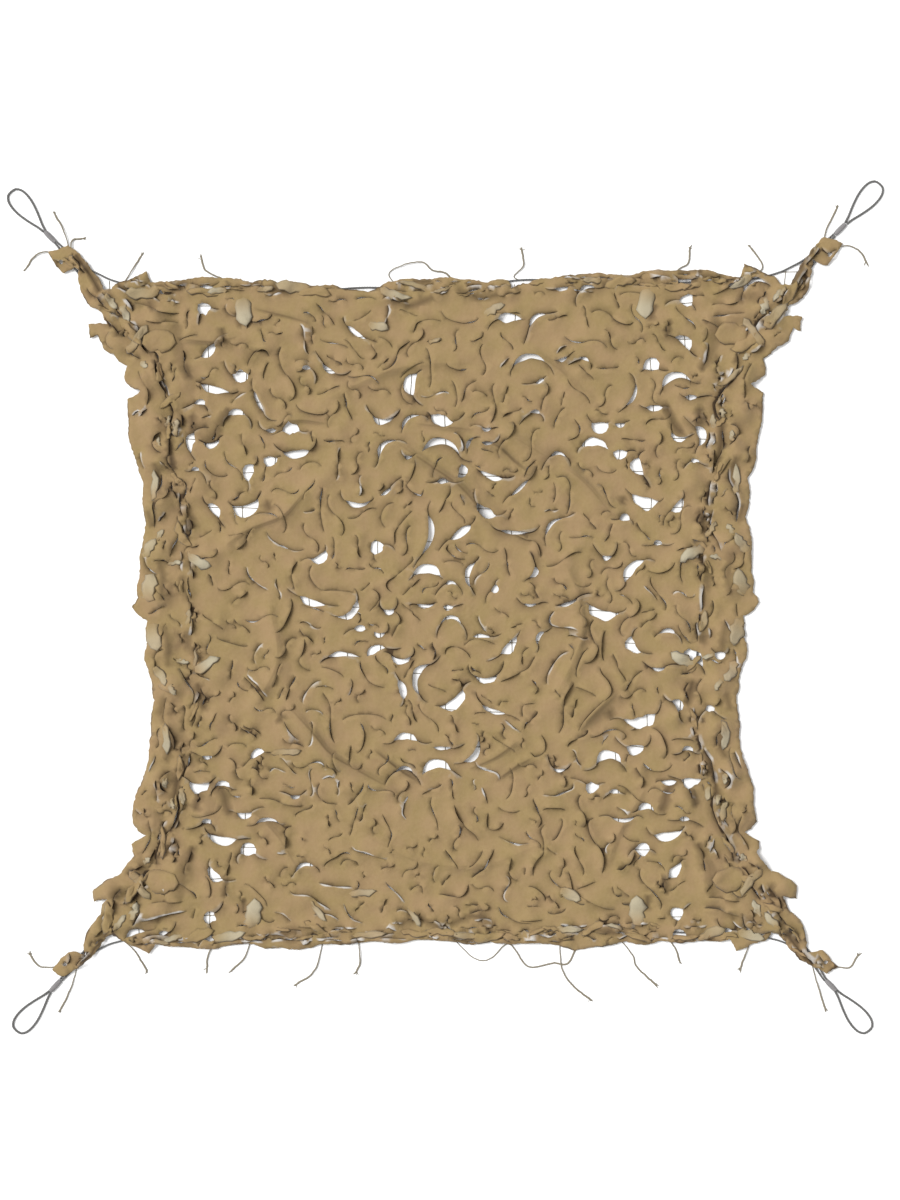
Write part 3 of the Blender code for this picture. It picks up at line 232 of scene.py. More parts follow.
# Cuts that lie shut: how dark each looks, and its path.
DRAWN_CUTS = (
    (0.9, (-41.0, 66.5), (-41.5, 63.8), (-40.5, 60.5), (-38.3, 56.5), (-38.0, 54.0), (-39.3, 52.5)),
    (1.7, (-43.9, 63.8), (-44.6, 65.3), (-46.5, 65.6), (-48.3, 63.6), (-49.5, 61.2)),
    (0.4, (-33.5, 71.5), (-33.3, 68.5), (-33.0, 66.8)),
    (0.7, (-32.5, 77.3), (-29.8, 74.3), (-27.8, 71.5)),
    (0.8, (-18.8, 67.0), (-17.5, 65.0), (-18.8, 63.0)),
    (0.5, (-25.8, 60.0), (-23.8, 58.8), (-19.0, 58.8), (-16.5, 56.8)),
    (0.8, (-25.3, 55.0), (-25.0, 52.5), (-24.5, 49.8), (-23.3, 47.8)),
    (0.9, (-8.8, 67.8), (-11.8, 65.8), (-12.5, 63.0), (-14.0, 60.8), (-16.0, 60.0)),
    (0.5, (-1.0, 72.5), (-4.0, 72.8), (-7.3, 72.3), (-8.3, 69.5)),
    (0.7, (-33.3, 45.5), (-33.5, 42.5), (-31.3, 40.5), (-29.5, 40.5)),
    (0.9, (-50.8, 44.8), (-50.5, 41.0), (-49.8, 39.0)),
    (1.0, (-54.8, 49.0), (-57.0, 46.0), (-58.5, 42.8)), (0.5, (-19.0, 42.8), (-19.5, 39.8)),
    (0.7, (-30.8, 31.3), (-31.5, 27.5), (-30.8, 22.3), (-30.3, 19.8)),
    (0.8, (-8.3, 39.0), (-7.8, 37.0), (-9.0, 33.3), (-9.5, 31.3), (-6.5, 29.0), (-5.5, 30.8)),
    (0.8, (-10.8, 34.3), (-10.5, 31.3), (-12.5, 29.5)), (0.8, (7.8, 57.8), (5.0, 55.8), (3.8, 52.3)),
    (0.8, (12.5, 57.3), (11.8, 56.0), (12.3, 52.3), (11.8, 49.3), (11.0, 47.0)),
    (0.8, (24.8, 57.5), (25.3, 55.8), (24.5, 52.8), (23.8, 50.0)), (0.7, (36.8, 50.3), (40.5, 49.5)),
    (0.8, (32.0, 48.5), (33.3, 46.5), (33.0, 44.3), (30.3, 42.8)),
    (0.4, (14.8, 28.8), (15.4, 26.0), (16.5, 25.8)), (0.8, (6.5, 37.5), (8.8, 35.8)),
    (0.9, (0.8, 32.4), (1.3, 30.0), (-0.5, 27.5), (-1.9, 24.6)),
    (0.7, (27.3, 33.5), (29.8, 33.5), (31.0, 30.5), (30.5, 25.0), (28.3, 22.0), (24.5, 19.8)),
    (0.8, (42.0, 23.5), (41.3, 20.5), (39.5, 17.5)), (0.8, (21.7, 20.3), (23.7, 22.0), (23.4, 23.8)),
    (0.9, (16.5, 19.8), (20.0, 18.3), (22.3, 17.3), (23.7, 13.5)),
    (0.8, (14.5, 16.3), (15.1, 12.9), (16.2, 8.9)),
    (0.9, (18.8, 11.5), (19.1, 9.1), (22.0, 6.0), (23.7, 2.8), (23.1, 1.8)),
    (0.9, (0.7, 16.9), (-0.1, 15.5), (2.2, 13.8), (5.0, 13.2)),
    (0.5, (-8.2, 25.3), (-10.8, 22.3), (-13.0, 20.0), (-12.8, 16.6)),
    (0.7, (-8.5, 14.3), (-8.2, 12.6), (-11.3, 9.8), (-14.8, 7.8), (-15.0, 6.0), (-13.4, 4.8)),
    (0.5, (26.0, 36.8), (25.7, 34.4), (24.3, 33.0)), (0.35, (20.8, 28.8), (21.0, 26.8), (22.5, 26.3)),
    (0.6, (-18.9, -34.2), (-18.9, -36.8)), (0.9, (-29.9, -37.5), (-28.5, -39.3), (-27.4, -40.8)),
    (0.6, (-23.7, -33.1), (-24.4, -35.7), (-23.7, -38.2), (-21.9, -39.0), (-20.8, -37.7)),
    (0.7, (-31.4, -42.6), (-31.8, -44.8), (-31.0, -47.0), (-29.6, -48.0), (-27.0, -48.1)),
    (0.8, (-24.1, -42.3), (-23.7, -43.7), (-22.6, -45.2)),
    (0.5, (-21.9, -48.5), (-22.8, -51.4), (-23.3, -54.4), (-24.1, -56.2)),
    (0.3, (-27.7, -49.2), (-27.0, -51.4), (-26.3, -52.5)), (0.9, (-2.1, -55.5), (-4.3, -57.7)),
    (0.6, (-16.0, -50.3), (-15.3, -52.2), (-14.2, -54.0), (-13.6, -55.8), (-14.5, -59.1)),
    (0.35, (-3.5, -45.9), (-3.7, -48.5), (-2.6, -51.8), (-1.9, -54.7)),
    (1.2, (2.0, -48.1), (2.2, -50.0), (3.4, -52.2), (5.6, -54.0), (7.5, -55.5), (8.3, -57.3)),
    (0.6, (-0.2, -59.1), (1.2, -61.3), (3.1, -64.3)), (0.9, (-10.1, -59.5), (-7.2, -58.0)),
    (0.4, (-5.7, -58.5), (-5.5, -61.3)), (1.0, (-14.3, -60.2), (-12.7, -59.3)),
    (0.9, (-16.4, -64.6), (-14.5, -63.7), (-12.7, -62.8)), (0.6, (-20.4, -64.6), (-20.8, -66.5)),
    (0.7, (-26.3, -63.5), (-25.5, -62.4), (-24.1, -61.9), (-22.2, -62.1), (-21.7, -63.5)),
    (0.6, (-30.7, -58.0), (-29.6, -59.1), (-29.0, -60.6)), (1.2, (-36.5, -56.2), (-35.1, -57.1)),
    (1.5, (-38.4, -53.6), (-39.8, -54.4), (-40.2, -56.9), (-40.2, -59.1)),
    (0.9, (-45.0, -65.7), (-44.2, -67.2), (-42.8, -69.0)), (1.0, (-7.6, -66.5), (-6.8, -65.0)),
    (0.7, (-9.0, -69.8), (-6.8, -68.3), (-5.7, -68.7), (-5.7, -70.5)),
    (1.0, (5.6, -67.9), (4.5, -70.1), (2.3, -71.2), (-2.1, -70.5)), (1.2, (0.1, -75.6), (0.9, -77.8)),
    (1.4, (-48.6, -41.2), (-48.5, -43.4), (-48.6, -45.9)),
    (0.9, (-46.8, -46.7), (-43.5, -47.0), (-40.6, -47.8), (-35.4, -48.3)),
    (1.4, (-48.3, -35.7), (-46.8, -38.2), (-46.1, -39.3)), (0.4, (32.1, -51.8), (32.8, -53.6)),
    (1.2, (26.6, -35.7), (27.3, -37.9), (28.4, -38.6)),
    (0.7, (24.0, -39.3), (23.7, -41.2), (22.9, -42.3)), (0.9, (34.6, -46.6), (35.2, -48.1)),
    (1.1, (35.4, -46.5), (40.2, -46.0), (43.1, -45.4), (47.5, -44.5)),
    (1.1, (21.8, -46.3), (22.9, -49.6), (23.5, -52.2), (22.9, -54.0)),
    (0.8, (24.8, -52.9), (23.9, -54.7), (24.6, -56.9), (24.4, -59.9), (22.6, -61.7), (21.5, -63.9),
     (21.8, -66.1)), (0.8, (10.5, -50.0), (9.9, -52.2), (10.5, -54.0), (12.7, -54.0), (14.5, -52.5)),
    (1.3, (37.2, -51.4), (35.8, -52.5), (36.1, -55.1), (37.6, -58.0), (39.1, -61.3), (38.9, -65.4)),
    (1.6, (47.1, -59.9), (45.3, -63.2), (43.8, -64.6), (42.4, -64.3)),
    (1.2, (47.5, -38.6), (49.0, -41.2), (48.6, -44.1)),
    (1.0, (16.3, -61.3), (15.6, -63.5), (16.3, -65.7), (18.2, -67.2)),
    (0.9, (29.2, -61.3), (29.2, -65.0), (28.4, -66.5)), (1.5, (53.4, -65.0), (53.0, -69.0)),
    (0.6, (30.6, -64.6), (31.0, -67.2), (31.7, -70.1), (34.7, -71.6), (38.7, -73.4), (42.4, -74.5)),
    (1.0, (25.9, -70.5), (27.0, -72.3), (28.1, -74.2)),
    (1.0, (21.1, -72.3), (22.4, -71.6), (22.2, -70.9)),
    (0.8, (13.0, -73.4), (14.1, -75.6), (17.4, -77.1), (21.8, -77.8)),
    (1.0, (9.4, -72.7), (10.5, -73.8), (7.9, -74.9), (5.7, -75.6)),
    (0.8, (41.6, -68.3), (42.4, -70.9), (44.2, -70.9)),
    (1.1, (12.1, -59.1), (10.8, -61.3), (9.4, -64.3), (6.4, -66.5)),
    (0.9, (-37.1, 12.8), (-38.5, 11.1), (-38.5, 9.2), (-37.9, 7.3), (-37.7, 5.7), (-38.1, 4.1),
     (-39.2, 2.5)),
    (0.7, (-33.3, 12.0), (-33.9, 9.8), (-33.0, 7.6), (-31.0, 5.5), (-28.5, 5.2), (-25.3, 5.0),
     (-22.8, 4.7)), (1.0, (-18.6, 5.7), (-17.3, 4.7), (-16.9, 3.1), (-17.3, 1.5), (-19.2, -0.1)),
    (1.1, (-12.9, 0.2), (-11.7, -1.7), (-12.2, -4.2), (-13.5, -6.5)),
    (0.5, (-11.3, 2.5), (-8.4, 0.2), (-8.4, -0.7), (-6.2, -2.3)),
    (0.7, (-36.1, 2.2), (-32.3, 0.6), (-28.5, -0.7)), (0.5, (-30.1, -6.1), (-30.7, -8.0)),
    (0.9, (-22.8, 0.2), (-21.2, -0.7), (-22.1, -2.9)), (1.2, (-27.9, 12.4), (-26.3, 10.8)),
    (1.3, (-36.5, -3.9), (-35.2, -5.8), (-33.3, -7.7)), (0.6, (-13.5, -25.3), (-13.5, -27.8)),
    (0.9, (-35.4, -6.6), (-35.8, -9.3), (-36.5, -12.2), (-35.2, -13.8), (-33.6, -14.7)),
    (0.9, (-23.7, -5.8), (-21.8, -6.8), (-20.8, -8.7), (-21.2, -11.2), (-21.5, -13.5), (-20.2, -16.3),
     (-18.0, -17.9), (-15.1, -18.9)), (0.8, (-13.2, -12.2), (-12.5, -14.4), (-13.2, -16.0)),
    (0.7, (-26.3, -21.4), (-27.6, -23.4)),
    (1.1, (-11.6, -16.7), (-11.8, -19.5), (-10.6, -21.4), (-9.0, -22.4)),
    (0.7, (-9.4, -23.0), (-9.8, -25.3), (-9.0, -28.5)),
    (1.0, (-31.0, -19.8), (-29.4, -21.8), (-28.6, -24.3), (-29.1, -27.8), (-28.8, -31.0),
     (-27.7, -32.9)), (0.9, (-20.2, -19.2), (-22.0, -21.1), (-21.5, -22.7)),
    (1.2, (-50.5, -16.0), (-48.6, -17.6), (-47.0, -20.2), (-45.4, -22.4)),
    (1.2, (-37.4, -16.0), (-38.7, -18.3), (-39.8, -20.5), (-40.0, -22.2)),
    (0.5, (-40.9, -12.5), (-42.2, -15.7), (-43.5, -18.9)),
    (1.1, (-49.5, 5.3), (-52.1, 3.1), (-53.7, 1.5)),
    (1.7, (-51.4, -28.5), (-49.5, -30.0), (-47.3, -31.6)),
    (1.0, (-40.9, -31.3), (-39.0, -32.6), (-35.5, -33.7)),
    (1.0, (10.4, -3.4), (11.6, -5.0), (10.2, -6.3)), (0.5, (11.9, 1.4), (15.8, -1.5)),
    (0.5, (12.6, -8.2), (10.0, -6.9), (6.8, -7.0), (4.3, -8.6)),
    (0.5, (-0.2, -10.8), (-0.2, -9.2), (1.4, -8.4), (3.5, -9.2), (5.2, -10.4), (6.2, -11.7)),
    (1.4, (6.2, -13.3), (7.5, -14.9), (8.8, -15.5)), (1.0, (21.2, -2.2), (23.1, -3.1), (24.4, -4.7)),
    (0.9, (22.5, -9.5), (22.1, -11.7), (20.6, -14.3), (18.0, -15.2), (15.1, -16.5), (13.5, -17.5)),
    (0.6, (20.9, -8.8), (19.3, -10.4), (18.6, -12.4), (19.3, -13.3)),
    (0.9, (13.2, -10.8), (13.5, -12.4), (14.8, -13.3)), (0.9, (27.2, -19.1), (28.3, -21.4)),
    (1.1, (37.1, -1.8), (36.2, -4.1), (37.1, -7.3), (37.6, -9.2), (36.5, -11.7), (34.3, -13.0)),
    (0.4, (30.4, -7.9), (32.0, -9.8), (31.1, -12.4)), (0.6, (6.2, -28.0), (8.4, -27.8)),
    (1.1, (38.4, -13.6), (38.7, -15.5), (40.3, -17.5), (41.0, -20.0), (39.0, -22.6), (36.5, -25.1),
     (34.3, -27.7), (33.0, -29.9)), (0.6, (41.6, -10.1), (42.9, -12.4), (43.2, -14.9), (45.1, -17.5)),
    (1.2, (32.0, -17.5), (30.4, -19.4), (29.2, -21.9), (29.6, -25.1), (29.5, -28.3), (28.2, -30.5)),
    (1.1, (21.5, -16.8), (22.8, -18.7), (22.1, -20.6)),
    (0.3, (13.2, -23.8), (14.2, -22.2), (15.8, -22.2)),
    (0.3, (19.3, -26.4), (19.3, -23.5), (20.9, -22.7), (22.5, -22.9)),
    (1.0, (9.7, -29.6), (9.1, -31.8), (7.2, -34.0), (5.2, -36.6)),
    (1.0, (-0.5, -30.5), (0.8, -31.8), (1.9, -33.2)), (0.6, (19.0, -31.2), (19.1, -34.0)),
    (0.7, (23.7, -30.5), (24.5, -32.8), (24.4, -35.3), (22.2, -36.4), (20.9, -34.9)),
    (0.9, (35.9, -31.5), (38.4, -30.5), (40.6, -29.6), (42.9, -29.6), (44.8, -30.9), (43.8, -32.1)),
    (0.7, (26.6, 4.9), (31.4, 2.9), (33.3, 3.6), (33.6, 5.5)), (1.5, (37.1, 5.5), (38.7, 3.9)),
    (1.3, (-3.4, -7.3), (-2.7, -9.5), (-3.4, -12.0)), (1.5, (1.4, -16.5), (3.0, -16.8), (3.8, -18.7)),
)
# The same, for cuts whose raised lip shows its pale back.
PALE_CUTS = (
    (0.4, (-31.0, -41.9), (-29.6, -41.2), (-27.7, -41.5)), (0.5, (-42.4, -60.3), (-39.5, -60.4)),
    (0.8, (-9.4, -45.9), (-10.5, -47.8), (-10.9, -50.3), (-9.8, -51.8)),
    (0.5, (-23.7, -58.4), (-23.0, -59.3), (-20.4, -60.2), (-17.5, -61.0), (-14.5, -61.9)),
    (0.8, (-37.6, -62.1), (-35.4, -63.5), (-34.3, -65.0)), (0.4, (25.2, -58.5), (27.7, -60.6)),
    (0.9, (-32.1, -67.6), (-29.6, -68.3), (-27.0, -68.7), (-23.3, -68.7)),
    (0.4, (-15.3, -67.2), (-14.2, -68.7), (-12.0, -70.5), (-10.1, -72.7)),
    (0.8, (-39.1, -69.4), (-38.0, -70.5), (-34.3, -70.9), (-31.8, -72.7), (-28.5, -74.5)),
    (0.5, (-25.5, -72.7), (-24.8, -74.9), (-23.3, -76.7), (-20.5, -77.8)),
    (0.6, (-43.1, -74.9), (-40.6, -75.3), (-38.6, -77.3)),
    (0.7, (-33.2, -75.6), (-29.2, -75.6), (-26.5, -77.0)),
    (0.3, (-44.2, -40.1), (-42.8, -39.0), (-39.8, -40.1)),
    (0.8, (9.0, -43.7), (9.7, -45.9), (10.5, -48.1)),
    (0.7, (30.3, -39.7), (31.6, -42.3), (31.7, -44.1), (29.9, -44.8), (27.0, -45.9), (24.0, -45.6)),
    (0.5, (42.4, -48.5), (44.6, -49.6), (45.7, -51.8), (44.9, -54.0)),
    (0.5, (12.8, -56.0), (17.4, -58.0), (21.1, -57.7)),
    (0.4, (-37.7, 5.0), (-34.9, 3.8), (-33.0, 2.6), (-30.4, 2.4)),
    (0.7, (-47.6, -13.1), (-47.9, -11.2), (-47.0, -9.0), (-45.7, -7.7)),
    (0.8, (-49.9, 11.4), (-49.2, 8.9), (-47.3, 7.3), (-44.4, 5.3)),
    (0.9, (27.2, 0.4), (25.8, -1.5), (26.6, -3.4), (31.1, -3.9), (33.0, -4.7)),
    (0.4, (-3.4, -34.0), (-1.4, -34.2), (1.1, -34.1)),
    (0.3, (14.5, -26.7), (17.0, -28.9), (19.0, -30.2)),
)
# The same for the upper left-hand side. The other three quarters of the cloth have its twins.
SIDE_CUTS = (
    (1.9, (-85.9, 75.1), (-83.6, 71.6), (-81.7, 69.1)),
    (1.4, (-79.8, 66.2), (-77.9, 63.7), (-76.3, 63.0)),
    (2.1, (-80.4, 72.6), (-78.2, 70.0), (-76.0, 65.9), (-74.4, 64.3)),
    (2.1, (-72.8, 63.3), (-72.8, 60.5), (-71.8, 57.0), (-69.6, 53.8), (-67.7, 50.3), (-68.3, 47.4),
     (-69.3, 45.8)), (2.1, (-94.3, 90.2), (-93.0, 88.1), (-91.9, 87.0), (-90.5, 85.5), (-90.0, 84.6)),
    (1.7, (-89.4, 85.7), (-87.8, 84.8), (-86.9, 83.4), (-86.0, 81.2), (-85.2, 79.2), (-84.5, 78.3)),
    (1.3, (-89.6, 81.2), (-88.7, 79.9), (-87.6, 78.8), (-86.7, 77.2), (-85.6, 76.1)),
    (1.5, (-78.2, 74.8), (-78.9, 76.5), (-80.3, 78.3)), (1.4, (-79.9, 68.5), (-80.6, 70.9)),
    (1.3, (-68.0, 59.7), (-69.1, 62.5)),
    (1.0, (-78.2, 77.2), (-75.0, 76.2), (-71.2, 75.1), (-66.5, 74.6)),
    (0.9, (-75.0, 72.7), (-71.5, 72.3), (-66.5, 72.0)),
    (1.3, (-76.4, 48.8), (-75.7, 50.2), (-74.5, 50.8)), (1.4, (-68.4, 46.0), (-69.8, 48.9)),
    (1.4, (-65.8, 65.6), (-65.2, 62.0), (-64.5, 59.5)), (1.3, (-62.9, 57.9), (-61.3, 55.4)),
    (1.8, (-63.2, 47.5), (-62.7, 44.5)), (1.4, (-55.3, 71.0), (-55.7, 66.0)),
    (1.0, (-78.5, 49.0), (-76.9, 50.3), (-75.8, 49.0)), (1.0, (-71.8, 48.8), (-71.1, 46.9)),
    (1.4, (-71.2, 45.1), (-72.8, 44.2), (-73.3, 42.6), (-72.5, 41.0), (-70.9, 39.7)),
    (1.5, (-69.3, 43.8), (-69.3, 38.4), (-68.3, 36.5), (-67.4, 34.6)),
    (1.3, (-70.9, 34.6), (-71.2, 31.4), (-72.5, 28.9), (-73.4, 26.3), (-73.1, 23.8), (-72.8, 20.9)),
    (1.3, (-72.0, 22.5), (-69.9, 25.1)),
    (0.9, (-67.1, 24.4), (-66.4, 20.0), (-68.3, 16.1), (-69.0, 13.6)),
    (1.9, (-64.0, 23.2), (-63.3, 21.0), (-64.2, 18.5)), (0.8, (-64.8, 28.9), (-64.2, 25.6)),
    (0.8, (-65.5, 14.5), (-64.2, 16.1), (-61.6, 16.8)), (1.1, (-67.4, 7.8), (-66.8, 5.0)),
    (1.4, (-64.8, 5.9), (-63.9, 2.7), (-64.2, -1.2)),
    (0.9, (-47.9, 38.4), (-48.9, 36.2), (-51.1, 34.6)),
    (1.2, (-49.5, 30.5), (-51.8, 28.9), (-53.7, 27.9)),
    (0.8, (-62.0, 38.4), (-63.9, 36.8), (-63.2, 35.2)),
    (0.9, (-47.9, 21.2), (-49.8, 18.0), (-52.4, 15.5)),
    (0.7, (-57.2, 22.8), (-56.2, 20.9), (-56.5, 19.6)), (0.7, (-53.3, 1.4), (-52.1, 2.7), (-49.8, 5.3)),
    (0.6, (-50.2, 12.0), (-49.8, 10.4), (-47.6, 7.5)), (1.6, (-68.7, 82.0), (-64.8, 81.4)),
    (0.9, (-79.5, 80.4), (-75.7, 79.3), (-73.8, 77.7)), (0.8, (-76.4, 40.0), (-75.2, 35.6)),
    (0.8, (-76.8, 60.4), (-74.6, 55.6), (-74.8, 51.4)), (0.9, (-67.0, 61.0), (-68.4, 57.4)),
    (0.7, (-75.6, 15.2), (-74.4, 11.0), (-71.8, 9.2)), (0.7, (-72.4, 6.2), (-70.2, 2.8)),
)
# Leaves of the cloth that have turned over and show their paler back; these have twins too.
TURNED_LEAVES = (
    Flap(-50.4, 75.2, -1.45, 8.0, 4.8, 0.9), Flap(-72.8, 31.6, 1.55, 8.0, 2.2, 0.9),
    Flap(-71.6, 67.4, 0.0, 8.6, 7.0, 0.0), Flap(-79.9, 74.6, -1.2, 5.0, 2.2, 1.0),
    Flap(-77.1, 68.0, 0.95, 9.0, 2.6, 0.35), Flap(-74.0, 15.8, 1.0, 6.0, 2.8, 0.6),
    Flap(-71.4, 19.2, 1.0, 3.4, 1.8, 0.7), Flap(-74.0, 6.0, 1.3, 7.5, 4.4, 0.55),
    Flap(-61.8, 13.0, -0.5, 7.5, 3.0, 1.0), Flap(-67.8, 12.2, 0.2, 3.6, 1.4, 1.0),
    Flap(-67.2, 45.8, 1.4, 4.4, 1.9, 0.6), Flap(-71.7, 42.4, 1.6, 3.0, 1.6, 0.8),
    Flap(-69.4, 47.6, 1.2, 3.2, 1.4, 0.7), Flap(-83.4, 77.4, -0.9, 5.0, 2.0, 0.9),
    Flap(-75.4, 62.0, -0.7, 2.6, 1.6, 0.9),
)
# Turned leaves that stand alone.
LONE_LEAVES = (
    Flap(-17.0, 71.3, -0.25, 5.6, 2.8, 0.7), Flap(-2.8, 67.8, 0.3, 3.4, 1.4, 0.4),
    Flap(-21.0, -70.0, 0.1, 7.6, 2.2, 0.5), Flap(-32.0, -74.5, -0.9, 7.0, 1.6, 0.7),
    Flap(-8.0, -76.0, -1.0, 6.0, 1.4, 0.7), Flap(31.0, -70.5, -0.5, 6.0, 3.0, 0.7),
    Flap(-40.0, -35.0, 0.1, 8.0, 2.0, 0.35), Flap(12.0, 75.4, 0.5, 6.4, 2.4, 0.6),
)
# Loose string ends at the edges, each a path that starts under the cloth.
LOOSE_ENDS = (
    ((-93.0, 90.0), (-95.6, 95.5), (-97.7, 99.3)),
    ((-95.5, 88.2), (-100.3, 90.0), (-103.2, 88.4), (-104.7, 86.2)),
    ((-92.0, 86.0), (-93.6, 92.4), (-91.0, 93.3)), ((-80.4, 81.6), (-78.8, 84.8), (-76.4, 88.8)),
    ((-52.0, 80.0), (-55.2, 83.0), (-60.0, 85.2), (-61.2, 88.0)),
    ((-12.0, 80.5), (-14.4, 84.4), (-11.5, 86.6), (-6.2, 87.6), (-3.4, 85.4), (0.2, 84.6), (2.0, 80.8)),
    ((18.0, 80.4), (17.0, 84.0), (19.3, 86.6), (19.0, 90.4)),
    ((55.0, 82.0), (58.0, 85.4), (60.5, 87.0), (61.0, 90.4)),
    ((74.0, 83.6), (79.0, 86.0), (76.2, 90.8)), ((94.6, 90.0), (95.2, 96.0), (97.6, 100.8)),
    ((96.0, 90.2), (100.3, 91.5), (103.4, 90.2), (104.9, 87.6)),
    ((-92.0, -88.0), (-94.2, -95.0), (-96.2, -99.2)),
    ((-93.6, -88.2), (-99.2, -88.8), (-101.8, -88.4), (-103.8, -86.0)),
    ((-80.0, -82.0), (-77.6, -84.8), (-75.0, -89.2)), ((-57.0, -81.5), (-59.5, -86.0), (-59.6, -88.8)),
    ((-48.4, -81.0), (-50.5, -86.4), (-53.6, -89.4)), ((-30.2, -81.4), (-32.8, -89.2), (-37.2, -92.8)),
    ((-22.0, -81.0), (-21.6, -87.2), (-22.4, -89.6)),
    ((1.0, -81.0), (7.2, -86.8), (11.4, -86.4), (15.6, -82.8), (20.4, -88.4), (26.4, -87.6),
     (30.4, -87.6), (33.6, -81.4)), ((29.0, -81.6), (28.9, -88.6), (31.8, -93.4), (36.0, -96.6)),
    ((42.2, -82.0), (46.2, -85.4), (47.6, -89.0), (52.0, -93.0)),
    ((54.0, -81.2), (57.2, -84.0), (58.2, -87.2)), ((76.0, -82.0), (73.8, -88.6)),
    ((91.0, -88.0), (93.2, -94.8), (94.6, -98.8)),
    ((93.0, -88.0), (98.0, -88.6), (100.8, -88.6), (102.6, -86.0)),
)


# ---------------------------------------------------------------- places and paths


def placed(point):
    """A table's place in centimetres as metres in the object's own frame."""
    return (point[0] * CM - MIDDLE[0], point[1] * CM - MIDDLE[1])


def twin(point):
    """The place on the right-hand half that answers to a place on the left."""
    share = min(max((point[1] + 90.0) / 180.0, 0.0), 1.0)
    lift = TWIN_LIFT_BOTTOM + (TWIN_LIFT_TOP - TWIN_LIFT_BOTTOM) * share
    return (-point[0] + TWIN_SHIFT, point[1] + lift)


def quarter(point, right, low):
    """The place in one of the cloth's quarters that answers to a place in the upper left."""
    x, y = point
    if low:
        heights = [p[1] for p in LEFT_ROPE][::-1]
        across = [p[0] for p in LEFT_ROPE][::-1]
        x += float(np.interp(-y, heights, across) - np.interp(y, heights, across))
        y = -y - 0.1
    return twin((x, y)) if right else (x, y)


def smooth_path(points, spacing):
    """Points every `spacing` along a Catmull-Rom curve through the given ones."""
    knots = [np.array(p, float) for p in points]
    knots = [2 * knots[0] - knots[1]] + knots + [2 * knots[-1] - knots[-2]]
    fine = []
    for a, b, c, d in zip(knots, knots[1:], knots[2:], knots[3:]):
        for t in np.linspace(0.0, 1.0, CURVE_STEPS, endpoint=False):
            fine.append(
                0.5 * (2 * b + (c - a) * t + (2 * a - 5 * b + 4 * c - d) * t**2
                       + (3 * b - a - 3 * c + d) * t**3)
            )
    fine.append(knots[-2])
    return resampled(np.array(fine), spacing)


def table_path(points, spacing):
    """The smooth path through a table's places."""
    return smooth_path([placed(p) for p in points], spacing)


def run_along(line):
    """How far along a line each of its points lies."""
    return np.concatenate([[0.0], np.cumsum(np.linalg.norm(np.diff(line, axis=0), axis=1))])


def at_stations(stations, run, values):
    """A table's rows, read off between its points at these distances along it."""
    return np.column_stack([np.interp(stations, run, values[:, k]) for k in range(values.shape[1])])


def resampled(line, spacing):
    """The same line with points an even distance apart, close to the spacing."""
    run = run_along(line)
    count = max(2, int(round(run[-1] / spacing)) + 1)
    return at_stations(np.linspace(0.0, run[-1], count), run, line)


def normals(line):
    """The direction to the left of a plan line at each of its points."""
    step = np.gradient(line, axis=0)
    step /= np.linalg.norm(step, axis=1)[:, None]
    return np.column_stack([-step[:, 1], step[:, 0]])


def true_runs(flags):
    """The first and one past the last place of each unbroken run of true flags."""
    edges = np.flatnonzero(np.diff(np.concatenate([[0], flags, [0]])))
    return list(zip(edges[::2], edges[1::2]))


def plan_tree(points):
    """A tree that finds the nearest of these places in plan."""
    tree = kdtree.KDTree(len(points))
    for k, (x, y) in enumerate(points):
        tree.insert((x, y, 0.0), k)
    tree.balance()
    return tree


def how_near(tree, points):
    """Each point's distance from the nearest place in a tree."""
    return np.array([tree.find((x, y, 0.0))[2] for x, y in points])


def facing_up(plan, faces):
    """The triangles, with those that face down turned over."""
    turned = np.cross(plan[faces[:, 1]] - plan[faces[:, 0]], plan[faces[:, 2]] - plan[faces[:, 0]])
    faces[turned < 0] = faces[turned < 0][:, ::-1]
    return faces


def either_way(dice):
    """1 or -1, by the toss of a coin."""
    return 1.0 if dice.random() < 0.5 else -1.0


def shown(name, data):
    """A new object in the scene for a mesh, a lamp or a camera."""
    made = bpy.data.objects.new(name, data)
    bpy.context.scene.collection.objects.link(made)
    return made


def corner_axes(corner):
    """The whipping's ends, the direction of the loop's tip and the direction across it."""
    outer = np.array(placed(corner.outer))
    inner = np.array(placed(corner.inner))
    tip = np.array(placed(corner.tip))
    along = (tip - outer) / np.linalg.norm(tip - outer)
    return outer, inner, along, np.array((along[1], -along[0]))


def rope_end(name, upright):
    """Where an edge rope leaves its whipping, beside the other rope, on the side it goes to."""
    corner = next(c for c in CORNERS if c.name == name)
    outer, inner, _, _ = corner_axes(corner)
    inward = (inner - outer) / np.linalg.norm(inner - outer)
    across = np.array((inward[1], -inward[0]))
    run = np.array((0.0, -inner[1]) if upright else (-inner[0], 0.0))
    side = math.copysign(ROPE_PAIR_SPACING / 2, float(np.dot(run, across)))
    start = inner + inward * ROPE_END_CLEARANCE + across * side
    return [start, start + inward * ROPE_DIAMETER]


